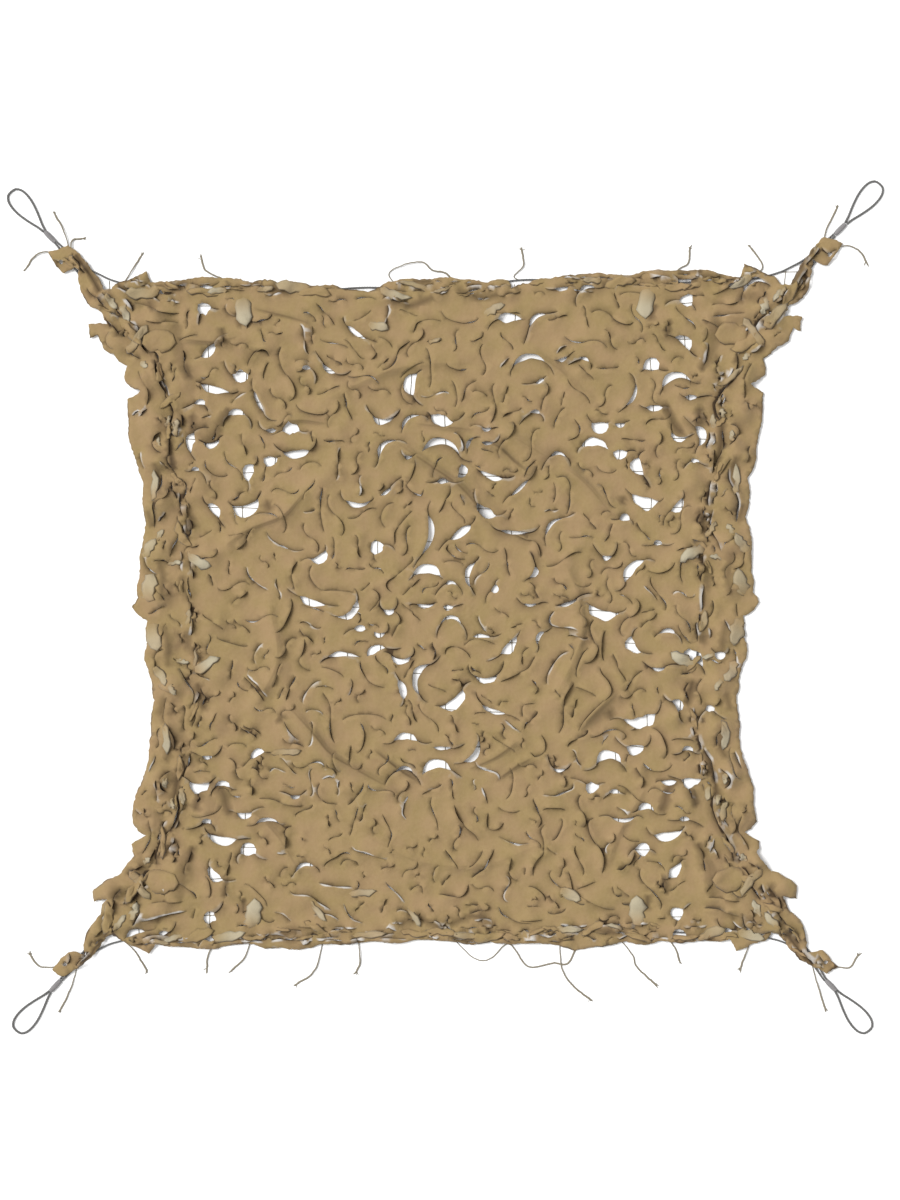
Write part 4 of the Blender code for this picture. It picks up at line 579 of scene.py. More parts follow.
def rope_paths(spacing):
    """Each edge rope's centre line, from whipping to whipping."""
    right_rope = tuple(twin(p) for p in LEFT_ROPE)
    top = TOP_ROPE + tuple(twin(p) for p in reversed(TOP_ROPE[:-1]))
    bottom = BOTTOM_ROPE + tuple(twin(p) for p in reversed(BOTTOM_ROPE[:-1]))
    routes = (
        ("rope_top", "top_left", top, "top_right"),
        ("rope_bottom", "bottom_left", bottom, "bottom_right"),
        ("rope_left", "top_left", LEFT_ROPE, "bottom_left"),
        ("rope_right", "top_right", right_rope, "bottom_right"),
    )
    paths = {}
    for name, first, shape, last in routes:
        upright = name in SIDE_ROPES
        ends = rope_end(first, upright), rope_end(last, upright)
        points = ends[0] + [np.array(placed(p)) for p in shape] + ends[1][::-1]
        paths[name] = smooth_path(points, spacing)
    return paths


# ---------------------------------------------------------------- the cloth


def plan_rims(node):
    """A sheet's rims in plan, read from its solid's walls: the outline, whose corner lies
    farthest left, then the cuts from left to right."""
    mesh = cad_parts[node].data
    places = np.empty(len(mesh.vertices) * 3)
    mesh.vertices.foreach_get("co", places)
    plan, index = np.unique(
        np.round(places.reshape(-1, 3)[:, :2], 5), axis=0, return_inverse=True
    )
    index = index.reshape(-1)
    beside = {}
    for face in mesh.polygons:
        ends = {int(index[v]) for v in face.vertices}
        if len(ends) == 2:
            a, b = ends
            beside.setdefault(a, set()).add(b)
            beside.setdefault(b, set()).add(a)
    rims = []
    while beside:
        start = min(beside)
        loop, here = [start], start
        while beside.get(here):
            there = min(beside[here])
            beside[here].discard(there)
            beside[there].discard(here)
            loop.append(there)
            here = there
        for v in set(loop):
            if not beside.get(v):
                beside.pop(v, None)
        rims.append(plan[loop[:-1]])
    return [rim if area_of(rim) > 0 else rim[::-1] for rim in rims]


def area_of(rim):
    x, y = rim[:, 0], rim[:, 1]
    return float(0.5 * (x * np.roll(y, -1) - y * np.roll(x, -1)).sum())


def in_polygon(points, rim):
    """Which of the points lie inside the rim."""
    found = np.zeros(len(points), bool)
    low, high = rim.min(0), rim.max(0)
    near = np.flatnonzero(((points >= low) & (points <= high)).all(1))
    a, b = rim, np.roll(rim, -1, axis=0)
    rise = np.where(a[:, 1] == b[:, 1], 1.0, b[:, 1] - a[:, 1])
    slope = (b[:, 0] - a[:, 0]) / rise
    for part in np.array_split(near, max(1, len(near) * len(rim) // TESTS_AT_ONCE)):
        x, y = points[part, 0][:, None], points[part, 1][:, None]
        crossed = ((a[:, 1] > y) != (b[:, 1] > y)) & (x < a[:, 0] + (y - a[:, 1]) * slope)
        found[part] = crossed.sum(1) % 2 == 1
    return found


def nearest_on_path(points, path):
    """For each point: its distance to the path, the share run there, and its side of it."""
    start, step = path[:-1], np.diff(path, axis=0)
    gap = points[:, None, :] - start[None]
    share = np.clip((gap * step).sum(2) / (step * step).sum(1), 0.0, 1.0)
    offset = gap - share[..., None] * step
    square = (offset * offset).sum(2)
    best = square.argmin(1)
    rows = np.arange(len(points))
    side = step[best, 0] * offset[rows, best, 1] - step[best, 1] * offset[rows, best, 0]
    run = (best + share[rows, best]) / len(step)
    return np.sqrt(square[rows, best]), run, np.sign(side)


def bell(distance, reach):
    """1 at no distance, 0 at the reach, with a smooth slope between."""
    return 0.5 + 0.5 * np.cos(np.pi * np.clip(distance / reach, 0.0, 1.0))


def noise_at(points, per_metre, seed):
    return np.array([noise.noise(Vector((x * per_metre, y * per_metre, seed))) for x, y in points])


def drift_at(place, per_metre, seed):
    """A smooth drift in plan, the same in every run."""
    x, y = place * per_metre
    return np.array([noise.noise(Vector((x, y, depth))) for depth in (seed, seed + 7.0)])


class Slits:
    """The cloth's cuts, each kept clear of the others."""

    def __init__(self, outline, cloth):
        self.cloth = cloth
        self.outline = outline
        self.edge = plan_tree(outline)
        self.made = []
        self.taken = np.empty((0, 2))

    def fits(self, line, clearance):
        low, high = line.min(0) - clearance, line.max(0) + clearance
        near = self.taken[((self.taken > low) & (self.taken < high)).all(1)]
        if len(near) and np.linalg.norm(near[None] - line[:, None], axis=2).min() < clearance:
            return False
        if how_near(self.edge, line).min() < clearance:
            return False
        return bool(in_polygon(line[:1], self.outline)[0])

    def add(self, slit):
        self.made.append(slit)
        self.taken = np.vstack([self.taken, slit.line])


def curved_line(middle, angle, length, hook, waves, power, spacing):
    """A line that hooks over at its ends: one wave bends it like a C, and two like an S."""
    count = max(4, int(round(length / spacing)) + 1)
    at = 2 * (np.arange(count - 1) + 0.5) / (count - 1) - 1
    bend = np.abs(at) ** power * (np.sign(at) if waves == 1 else 1.0)
    heading = angle + hook * (bend - bend.mean())
    steps = np.column_stack([np.cos(heading), np.sin(heading)]) * length / (count - 1)
    line = np.vstack([[0.0, 0.0], np.cumsum(steps, axis=0)])
    return line - line.mean(0) + np.array(middle)


def mouth_line(rim, stations):
    """The middle line and half widths of an open cut, from its rim in plan."""
    spans = [np.linalg.norm(rim[k] - rim[(k + 3) % 6]) for k in range(3)]
    first = int(np.argmax(spans))
    ring = np.roll(rim, -first, axis=0)
    share = np.linspace(0.0, 1.0, stations)
    sides = []
    for side in (ring[:4], ring[[0, 5, 4, 3]]):
        fine = smooth_path(side, 0.001)
        sides.append(at_stations(share, np.linspace(0.0, 1.0, len(fine)), fine))
    middle = (sides[0] + sides[1]) / 2
    half = np.linalg.norm(sides[0] - sides[1], axis=1) / 2
    return middle, half


def tail(start, heading, length, turn, spacing):
    """A line that leaves a cut's mouth and curls away from its heading."""
    count = max(1, int(round(length / spacing)))
    angles = heading + turn * (np.arange(count) + 0.5) / count
    steps = np.column_stack([np.cos(angles), np.sin(angles)]) * length / count
    return np.array(start) + np.cumsum(steps, axis=0)


def open_slits(slits, rims, dice):
    """The cuts that stand open: each mouth from the solid, bent, with its closed ends run on."""
    cloth = slits.cloth
    lines = []
    for rim in rims:
        stations = max(7, int(round(np.ptp(rim, axis=0).max() / cloth.lip_spacing)) + 1)
        middle, half = mouth_line(rim, stations)
        span = np.linalg.norm(middle[-1] - middle[0])
        at = np.linspace(-1.0, 1.0, stations)
        across = np.array((middle[0, 1] - middle[-1, 1], middle[-1, 0] - middle[0, 0])) / span
        bow = dice.uniform(0.05, 0.24) * either_way(dice)
        middle = middle + across * (bow * span * (0.6 - at * at))[:, None]
        half = half * (1.0 + dice.uniform(-0.5, 0.5) * at) * 1.05
        half = half * (1.0 + dice.uniform(0.0, 0.2) * np.sin(dice.uniform(4.0, 9.0) * at))
        fuller = 0.5 + dice.uniform(-0.1, 0.35) * math.copysign(1.0, bow)
        lines.append((middle, 2 * half * fuller, 2 * half * (1 - fuller), bow))
    slits.taken = np.vstack([line[0] for line in lines])
    finished = []
    for number, (middle, left, right, bow) in enumerate(lines):
        others = np.vstack([m[0] for k, m in enumerate(lines) if k != number])
        curl = -math.copysign(1.0, bow)
        for _ in range(2):
            middle, left, right, curl = middle[::-1], right[::-1], left[::-1], -curl
            step = middle[-1] - middle[-2]
            heading = math.atan2(step[1], step[0])
            length = dice.uniform(cloth.tail_length * 0.35, cloth.tail_length)
            turn = curl * dice.uniform(0.2, 1.4) * (-1.0 if dice.random() < 0.4 else 1.0)
            for shorter in (1.0, 0.6, 0.3):
                run = tail(middle[-1], heading, length * shorter, turn * shorter, cloth.lip_spacing)
                clear = np.linalg.norm(others[None] - run[:, None], axis=2).min()
                for other_line, *_ in finished:
                    clear = min(clear, np.linalg.norm(other_line[None] - run[:, None], axis=2).min())
                inside = in_polygon(run[-1:], slits.outline)[0]
                if clear > cloth.slit_spacing and inside:
                    shut = np.full(len(run), cloth.slit_width / 2)
                    middle = np.vstack([middle, run])
                    left, right = np.concatenate([left, shut]), np.concatenate([right, shut])
                    break
        left, right = np.maximum(left, cloth.slit_width / 2), np.maximum(right, cloth.slit_width / 2)
        left[0] = left[-1] = right[0] = right[-1] = 0.0
        lift = lips(middle, cloth, dice, None, dice.uniform(0.5, 1.1))
        finished.append((middle, left, right, lift, dice.uniform(0.6, 1.5), dice.uniform(0.0, 0.4)))
    slits.taken = np.empty((0, 2))
    for made in finished:
        slits.add(Slit(*made))


def lips(line, cloth, dice, waves, strength):
    """The heights that a cut's left and right lips stand up to, along its line."""
    share = np.linspace(0.0, 1.0, len(line))
    if waves is None:
        waves = 1 if dice.random() < 0.5 else 2
    height = cloth.lip_lift * strength
    swing = height * np.sin(waves * np.pi * share) * either_way(dice)
    both = 0.2 * height * np.sin(np.pi * share)
    left = np.maximum(swing, 0.0) + both - 0.25 * np.maximum(-swing, 0.0)
    right = np.maximum(-swing, 0.0) + both - 0.25 * np.maximum(swing, 0.0)
    return np.column_stack([left, right])


def shut_slit(line, cloth, dice, waves, dark, opened, pale):
    """A cut that lies shut, or stands open by a few millimetres over a part of its run."""
    share = np.linspace(0.0, 1.0, len(line))
    left = np.full(len(line), cloth.slit_width / 2)
    right = left.copy()
    if opened:
        at, reach = dice.uniform(0.15, 0.85), dice.uniform(0.16, 0.32)
        wide = opened * bell(np.abs(share - at), reach)
        left, right = left + wide * 1.5, right + wide * 0.3
    left[0] = left[-1] = right[0] = right[-1] = 0.0
    strength = (0.25 + 0.9 * dark) * (0.6 if opened else 1.0)
    return Slit(line, left, right, lips(line, cloth, dice, waves, strength), dark, pale)


def trimmed(slits, line, clearance):
    """The longest run of a line that lies clear of the other cuts and of the edge."""
    clear = np.array([slits.fits(line[k:k + 1], clearance) for k in range(len(line))])
    runs = sorted(true_runs(clear), key=lambda run: run[0] - run[1])
    return line[slice(*runs[0])] if runs else line[:0]


def drawn_slits(slits, dice):
    """The shut cuts whose places are set."""
    drawn = [(dark, 0.0, points) for dark, *points in DRAWN_CUTS]
    drawn += [(dark, 1.0, points) for dark, *points in PALE_CUTS]
    for dark, *points in SIDE_CUTS:
        for right, low in QUARTERS:
            pale = float(dice.random() < 0.25)
            drawn.append((dark, pale, [quarter(p, right, low) for p in points]))
    for dark, pale, points in drawn:
        line = trimmed(slits, table_path(points, slits.cloth.lip_spacing), DRAWN_CUT_CLEARANCE)
        if len(line) > 3:
            opened = dice.uniform(0.0008, 0.0016) if dice.random() < 0.3 + 0.4 * pale else 0.0
            waves = 1 if pale else 2
            slits.add(shut_slit(line, slits.cloth, dice, waves, dark, opened, pale))


def rope_slits(slits, paths, dice):
    """The cuts that the ropes have gathered: rows of dark ones that run along each rope."""
    cloth = slits.cloth
    for name, path in paths.items():
        upright = name in SIDE_ROPES
        inward = 1.0 if name in ("rope_left", "rope_top") else -1.0
        inward = inward if upright else -inward
        normal, run = normals(path) * inward, run_along(path)
        for offset, share_made in SIDE_ROWS if upright else HEM_ROWS:
            at = dice.uniform(0.01, 0.04)
            while at < run[-1] - 0.05:
                length = dice.uniform(0.022, 0.075)
                stations = np.linspace(at, at + length, max(5, int(length / cloth.lip_spacing)))
                at += length + dice.uniform(0.007, 0.020)
                if dice.random() > share_made:
                    continue
                weave = dice.uniform(-0.006, 0.006)
                place, beside = (at_stations(stations, run, values) for values in (path, normal))
                swing = np.sin(np.linspace(0, dice.uniform(2.5, 6.0), len(stations)))
                line = place + beside * (offset + weave * swing + dice.uniform(-0.003, 0.003))[:, None]
                line = trimmed(slits, line, GATHERED_CUT_CLEARANCE)
                if len(line) > 3:
                    opened = dice.uniform(0.0012, 0.0021) if dice.random() < 0.5 else 0.0
                    dark = dice.uniform(0.9, 1.9) if upright else dice.uniform(0.4, 1.4)
                    pale = dice.choice(PALENESS, p=GATHERED_PALE_SHARES)
                    slits.add(shut_slit(line, cloth, dice, dice.integers(1, 4), dark, opened, pale))


def closed_slits(slits, dice):
    """The cuts that lie shut, on a loose chequer of upright and level ones."""
    cloth = slits.cloth
    low, high = slits.outline.min(0), slits.outline.max(0)
    pitch = cloth.slit_pitch
    columns = int((high[0] - low[0]) / pitch) + 1
    rows = int((high[1] - low[1]) / pitch) + 1
    for row in range(rows):
        for column in range(columns):
            upright = (row + column) % 2
            hand = either_way(dice)
            for attempt in range(CLOSED_CUT_TRIES):
                loose = cloth.slit_jitter * (1.0 + 0.5 * attempt)
                middle = low + pitch * (np.array((column, row)) + 0.5)
                middle = middle + dice.uniform(-loose, loose, 2)
                middle = middle + 0.02 * drift_at(middle, 5.0, 2.0)
                length = cloth.slit_length * dice.uniform(0.55, 1.15) * (1.0 - 0.1 * attempt)
                waves = 2 if dice.random() < 0.65 else 1
                hook = dice.uniform(1.0, 2.2) * hand * (0.6 if waves == 1 else 1.0)
                angle = upright * math.pi / 2 + dice.normal(0.0, 0.42 + 0.08 * attempt)
                power = dice.uniform(1.1, 3.0)
                line = curved_line(middle, angle, length, hook, waves, power, cloth.lip_spacing)
                if not slits.fits(line, cloth.slit_spacing):
                    continue
                dark = dice.choice(DARKNESS, p=DARKNESS_SHARES)
                opened = dice.uniform(0.0009, 0.0019) if dice.random() < 0.35 else 0.0
                pale = dice.choice(PALENESS, p=CLOSED_PALE_SHARES)
                slits.add(shut_slit(line, cloth, dice, waves, dark, opened, pale))
                break


def slit_rim(slit):
    """A cut's two lips as one closed rim in plan."""
    normal = normals(slit.line)
    left = slit.line + normal * slit.left[:, None]
    right = slit.line - normal * slit.right[:, None]
    return np.vstack([right[:-1], left[:0:-1]])


def fine_outline(outline, cloth, dice):
    """The outline with a ragged edge between the solid's points."""
    closed = np.vstack([outline, outline[:1]])
    points = []
    for a, b in zip(closed, closed[1:]):
        run = np.linalg.norm(b - a)
        count = max(1, int(round(run / cloth.edge_spacing)))
        across = np.array((a[1] - b[1], b[0] - a[0])) / run
        bow = dice.uniform(-0.05, 0.12) * run
        for k in range(count):
            share = k / count
            rough = dice.normal(0.0, 0.0009) if k else 0.0
            points.append(a + (b - a) * share - across * (bow * 4 * share * (1 - share) + rough))
    return np.array(points)


def away_from_light(path):
    """The same path, run so that its right-hand side faces away from the light."""
    step = path[-1] - path[0]
    return path[::-1] if LIGHT_SIDE[0] * step[1] - LIGHT_SIDE[1] * step[0] > 0 else path


class Drape:
    """The cloth's height over the ground, before its cut lips lift."""

    def __init__(self, ropes):
        self.ropes = list(ropes.values())
        self.folds = [(table_path(f.path, 0.01), f.height * CM, f.reach * CM) for f in FOLDS]
        self.creases = [
            (away_from_light(table_path(c.path, 0.008)), c.height * CM, c.slope * CM, c.drop * CM,
             c.dark)
            for c in CREASES
        ]
        self.hollows = [
            (table_path([quarter(p, right, low) for p in points], 0.008), reach * CM, dark)
            for reach, dark, *points in HOLLOWS for right, low in QUARTERS
        ]
        twins = tuple(Lump(*twin((q.x, q.y)), q.height, q.reach) for q in SIDE_LUMPS)
        self.lumps = [
            (np.array(placed((q.x, q.y))), q.height * CM, q.reach * CM)
            for q in SIDE_LUMPS + EDGE_LUMPS + twins
        ]

    def floor(self, points):
        """The lowest that the cloth can lie, over the net's strings and the edge ropes."""
        near = self.rope_distance(points)
        held = bell(np.maximum(near - 0.014, 0.0), 0.030)
        return CLOTH_REST + (CLOTH_OVER_ROPE - CLOTH_REST) * held

    def rope_distance(self, points):
        return np.min([nearest_on_path(points, rope)[0] for rope in self.ropes], axis=0)

    def creased(self, points):
        """How far the creases raise each point, and how deep in their shade it lies."""
        raised, shade = np.zeros(len(points)), np.zeros(len(points))
        for path, height, slope, drop, dark in self.creases:
            distance, run, side = nearest_on_path(points, path)
            taper = np.clip(4 * run * (1 - run), 0.0, 1.0) ** 0.6
            long = np.clip(1 - distance / slope, 0, 1) ** 2
            steep = np.clip(1 - distance / drop, 0, 1)
            raised = np.maximum(raised, height * taper * np.where(side > 0, long, steep))
            line = np.exp(-(distance / 0.0035) ** 2)
            band = np.where(side > 0, 0.0, 0.45 * steep ** 0.7)
            shade = np.maximum(shade, dark * taper * np.maximum(line, band))
        for path, reach, dark in self.hollows:
            around = (points > path.min(0) - reach) & (points < path.max(0) + reach)
            near = np.flatnonzero(around.all(1))
            distance = nearest_on_path(points[near], path)[0]
            deep = dark * np.clip(1.8 * (1.0 - distance / reach), 0.0, 1.0)
            shade[near] = np.maximum(shade[near], deep)
        return raised, shade

    def height(self, points):
        raised = np.zeros(len(points))
        for path, height, reach in self.folds:
            distance, _, _ = nearest_on_path(points, path)
            raised = np.maximum(raised, 0.6 * height * bell(distance, reach))
        for centre, height, reach in self.lumps:
            distance = np.linalg.norm(points - centre, axis=1)
            raised = np.maximum(raised, 0.75 * height * bell(distance, reach))
        creased, shade = self.creased(points)
        near = self.rope_distance(points)
        pinch = 1.0 - 0.85 * bell(np.maximum(near - 0.004, 0.0), 0.020)
        ripple = 0.0035 * np.maximum(0.0, noise_at(points, 14.0, 0.0) + 0.15)
        small = 0.0014 * noise_at(points, 38.0, 5.0)
        small = small + 0.0028 * np.abs(noise_at(points * (1.0, 0.55), 26.0, 9.0))
        return CLOTH_REST + 0.0035 + (raised + ripple) * pinch + creased + small, shade


def lattice(outline, spacing, dice):
    """Loose rows of points over the whole cloth."""
    low, high = outline.min(0), outline.max(0)
    row_step = spacing * math.sqrt(3) / 2
    points = []
    for row in range(int((high[1] - low[1]) / row_step) + 1):
        shift = spacing / 2 if row % 2 else 0.0
        for column in range(int((high[0] - low[0]) / spacing) + 2):
            points.append((low[0] + column * spacing + shift, low[1] + row * row_step))
    points = np.array(points)
    return points + dice.uniform(-0.12, 0.12, points.shape) * spacing


def crease_points(drape):
    """Rows of points along each crease's ridge and its foot, so that the sheet bends there, and
    along the hollows, which their shade needs."""
    lines = [(path, (0.0, 0.004, -0.004, -drop, -drop / 2)) for path, _, _, drop, _ in drape.creases]
    lines += [(path, (0.0, reach * 0.6, -reach * 0.6)) for path, reach, _ in drape.hollows]
    rows = []
    for path, offsets in lines:
        rows += [path + normals(path) * offset for offset in offsets]
    return np.vstack(rows)


def sheet_points(outline, slits, drape, cloth, dice):
    """Every rim of the cloth, and the points between them."""
    rims = [outline] + [slit_rim(s) for s in slits.made]
    tree = plan_tree(np.vstack(rims))
    creases = crease_points(drape)
    creases = creases[in_polygon(creases, outline)]
    creases = creases[how_near(tree, creases) > 0.004]
    points = lattice(outline, cloth.mesh_spacing, dice)
    points = points[in_polygon(points, outline)]
    clear = np.minimum(how_near(tree, points), how_near(plan_tree(creases), points))
    return rims, np.vstack([creases, points[clear > cloth.mesh_spacing * 0.42]])


def triangulated(rims, extra):
    """Triangles between the outer rim and the inner ones, with the extra points among them."""
    points, edges = [], []
    for rim in rims:
        first = len(points)
        points += [Vector(p) for p in rim]
        edges += [(first + k, first + (k + 1) % len(rim)) for k in range(len(rim))]
    points += [Vector(p) for p in extra]
    made = delaunay_2d_cdt(points, edges, [], 0, 1e-7, False)
    places = np.array([tuple(p) for p in made[0]])
    faces = np.array([tuple(face) for face in made[2]])
    middles = places[faces].mean(1)
    kept = in_polygon(middles, rims[0])
    for rim in rims[1:]:
        kept &= ~in_polygon(middles, rim)
    return places, faces[kept]


def lifted_lips(points, slits, cloth):
    """How far each point moves for the cuts near it; its looks, which are its distance from the nearest cut
    in millimetres, scaled by how wide the cut's painted shade lies, how deep the painted shade on the lower
    lip is there, and how pale the raised lip is (partly its pale back and partly a painted highlight); and
    the painted soft shade that lies beside the cuts on the lower lip's side."""
    move, soft = np.zeros((len(points), 3)), np.zeros(len(points))
    looks = np.zeros((len(points), 3))
    looks[:, 0] = FAR_FROM_CUTS
    patchy = np.clip(0.5 + 1.4 * noise_at(points, 32.0, 3.0), 0.0, 1.0)
    for slit in slits.made:
        low, high = slit.line.min(0) - cloth.lip_reach, slit.line.max(0) + cloth.lip_reach
        near = np.flatnonzero(((points > low) & (points < high)).all(1))
        distance, run, side = nearest_on_path(points[near], slit.line)
        close = distance < cloth.lip_reach
        near, distance, run, side = near[close], distance[close], run[close], side[close]
        stations = np.linspace(0.0, 1.0, len(slit.line))
        left, right = at_stations(run, stations, slit.lift).T
        half = np.interp(run, stations, slit.left + slit.right) / 2
        own, other = np.where(side > 0, left, right), np.where(side > 0, right, left)
        falloff = (1.0 - distance / cloth.lip_reach) ** 2
        move[near, 2] += own * falloff
        away = at_stations(run, stations, normals(slit.line))
        shut = np.clip(1.0 - half / 0.0015, 0.0, 1.0)
        lap = cloth.lip_lap * np.clip(own / cloth.lip_lift, 0.0, 1.0) * shut
        move[near, :2] -= away * (side * lap * falloff)[:, None]
        ends = np.clip(8 * run * (1 - run), 0.0, 1.0)
        # deep is painted shade, darkest on the lip that lies lower. pale is the raised lip's strip, partly
        # its pale back and partly a painted highlight.
        deep = np.clip(0.4 + 1.6 * (other - own) / cloth.lip_lift, 0.15, 1.0) * slit.dark * ends
        pale = slit.pale * np.clip(4.0 * (own - other) / cloth.lip_lift, 0.0, 1.0) * ends
        pale = pale * np.clip(1.8 * patchy[near] - 0.4, 0.0, 1.0)
        wide = 1000 * distance / (max(0.95, slit.dark) ** 1.2 * (0.62 + 0.85 * patchy[near]))
        beside = np.clip(1.0 - distance / cloth.shade_reach, 0.0, 1.0) ** 1.3 * ends
        beside = beside * np.clip(2.5 * (other - own) / cloth.lip_lift, 0.0, 1.0)
        soft[near] = np.maximum(soft[near], cloth.shade_strength * min(slit.dark, 1.7) * beside)
        closest = wide < looks[near, 0]
        looks[near[closest]] = np.column_stack([wide, deep, pale])[closest]
    return move, looks, soft


def shaded_rim(points, slits, looks):
    """The sheet's looks with painted shade in spots along its outer edge, most of them at the two hems."""
    distance = how_near(slits.edge, points) * 1000
    spots = noise_at(points * (0.6, 1.0), 24.0, 6.0)
    deep = np.clip(3.0 * spots, 0.0, 1.0) * np.where(np.abs(points[:, 1]) > 0.74, 0.95, 0.6)
    nearer = (distance < looks[:, 0]) & (deep > 0.1)
    looks[nearer] = np.column_stack([distance, deep, 0.0 * deep])[nearer]
    return looks


def sheet_object(name, places, faces, attributes):
    mesh = bpy.data.meshes.new(name)
    mesh.from_pydata([tuple(p) for p in places], [], [tuple(int(v) for v in f) for f in faces])
    for key, values in attributes.items():
        made = mesh.attributes.new(key, "FLOAT", "POINT")
        made.data.foreach_set("value", np.asarray(values, np.float32))
    mesh.update()
    return shown(name, mesh)


def leaf(flap, ground, dice):
    """A tongue of cloth whose root is tucked into the sheet: its points, faces and paleness, and the looks
    of its rim, which are those of a cut's lip: painted shade along its edge, deep on the side that faces
    away from the lamp and light on the side that faces it."""
    length, width = flap.length * CM, flap.width * CM
    stations = np.linspace(0.0, 1.0, LEAF_ROWS + 1)
    heading = flap.angle + dice.normal(0.0, 0.5) * (stations[:-1] - 0.5)
    steps = np.column_stack([np.cos(heading), np.sin(heading)]) * length / LEAF_ROWS
    spine = np.vstack([[0.0, 0.0], np.cumsum(steps, axis=0)])
    spine = spine - spine.mean(0) + np.array(placed((flap.x, flap.y)))
    normal = normals(spine)
    blunt = dice.uniform(2.2, 6.0)
    half = width / 2 * (0.7 + 0.3 * stations) * (1.0 - stations ** blunt) ** 0.6
    ragged = 0.27 * min(1.0, 0.025 / width)
    sides = half[:, None] * np.clip(1 + dice.normal(0.0, ragged, (LEAF_ROWS + 1, 2)), 0.45, 1.6)
    plan, arch, out, faces = [spine[0]], [0.0], [0.0], []
    rim = [(0.0, 0.5, 0.0)]
    for k in range(1, LEAF_ROWS):
        for across in LEAF_SHARES:
            wide = sides[k, int(across > 0)]
            plan.append(spine[k] + normal[k] * across * wide)
            arch.append((1 - across * across) * 0.16 * wide)
            out.append(stations[k])
            # Painted shade on the rim: deep on the side that faces away from the lamp.
            away = float(np.dot(normal[k] * across, LIGHT_SIDE)) < 0
            rim.append((1000 * wide * (1 - abs(across)), 0.85 if away else 0.2, 0.0))
    plan.append(spine[-1])
    arch.append(0.0)
    out.append(1.0)
    rim.append((0.0, 0.5, 0.0))
    in_row = len(LEAF_SHARES)
    for k in range(LEAF_ROWS - 2):
        for side in range(in_row - 1):
            a = 1 + in_row * k + side
            faces += [(a, a + in_row, a + in_row + 1), (a, a + in_row + 1, a + 1)]
    last = len(plan) - 1
    for side in range(in_row - 1):
        faces += [(0, 1 + side, 2 + side), (last, last - 2 - side, last - 1 - side)]
    plan, out, faces = np.array(plan), np.array(out), np.array(faces)
    height = ground(plan) - 0.0022 + np.array(arch)
    height = height + out ** 0.7 * dice.uniform(0.004, 0.007)
    pale = flap.pale * np.clip(out * 1.6, 0.0, 1.0)
    return np.column_stack([plan, height]), facing_up(plan, faces), pale, np.array(rim)


def turned_leaves():
    """Every turned leaf, with the twins of those that have them."""
    leaves = list(LONE_LEAVES)
    for flap in TURNED_LEAVES:
        for right, low in QUARTERS:
            angle = math.pi - flap.angle if right else flap.angle
            angle = -angle if low else angle
            x, y = quarter((flap.x, flap.y), right, low)
            leaves.append(flap._replace(x=x, y=y, angle=angle))
    return leaves


def edge_leaves(paths, outline, dice):
    """The bunched leaves along the ropes, as flaps, where the cloth covers the rope."""
    flaps = []
    for name, path in paths.items():
        upright = name in SIDE_ROPES
        outward = -1.0 if name in ("rope_left", "rope_bottom") else 1.0
        run = run_along(path)
        at = 0.06
        while at < run[-1] - 0.06:
            (x, y), ahead = at_stations([at, at + 0.02], run, path).tolist()
            along = math.atan2(ahead[1] - y, ahead[0] - x)
            length = dice.uniform(0.035, 0.095)
            width = length * dice.uniform(0.18, 0.38)
            drift = dice.uniform(-0.012, 0.014) if upright else dice.uniform(-0.016, 0.014)
            x += outward * drift if upright else 0.0
            y += 0.0 if upright else outward * drift
            pale = dice.choice(LEAF_PALENESS, p=SIDE_LEAF_SHARES if upright else HEM_LEAF_SHARES)
            angle = along + dice.normal(0.0, 0.45 if upright else 0.2)
            angle += math.pi * dice.integers(0, 2)
            reach = np.outer((-0.5, 0.0, 0.5), (math.cos(angle), math.sin(angle))) * length
            if in_polygon(reach + (x, y), outline).all():
                flaps.append(Flap((x + MIDDLE[0]) / CM, (y + MIDDLE[1]) / CM, angle,
                                  length / CM, width / CM, pale))
            at += dice.uniform(0.07, 0.15) if upright else dice.uniform(0.03, 0.085)
    return flaps


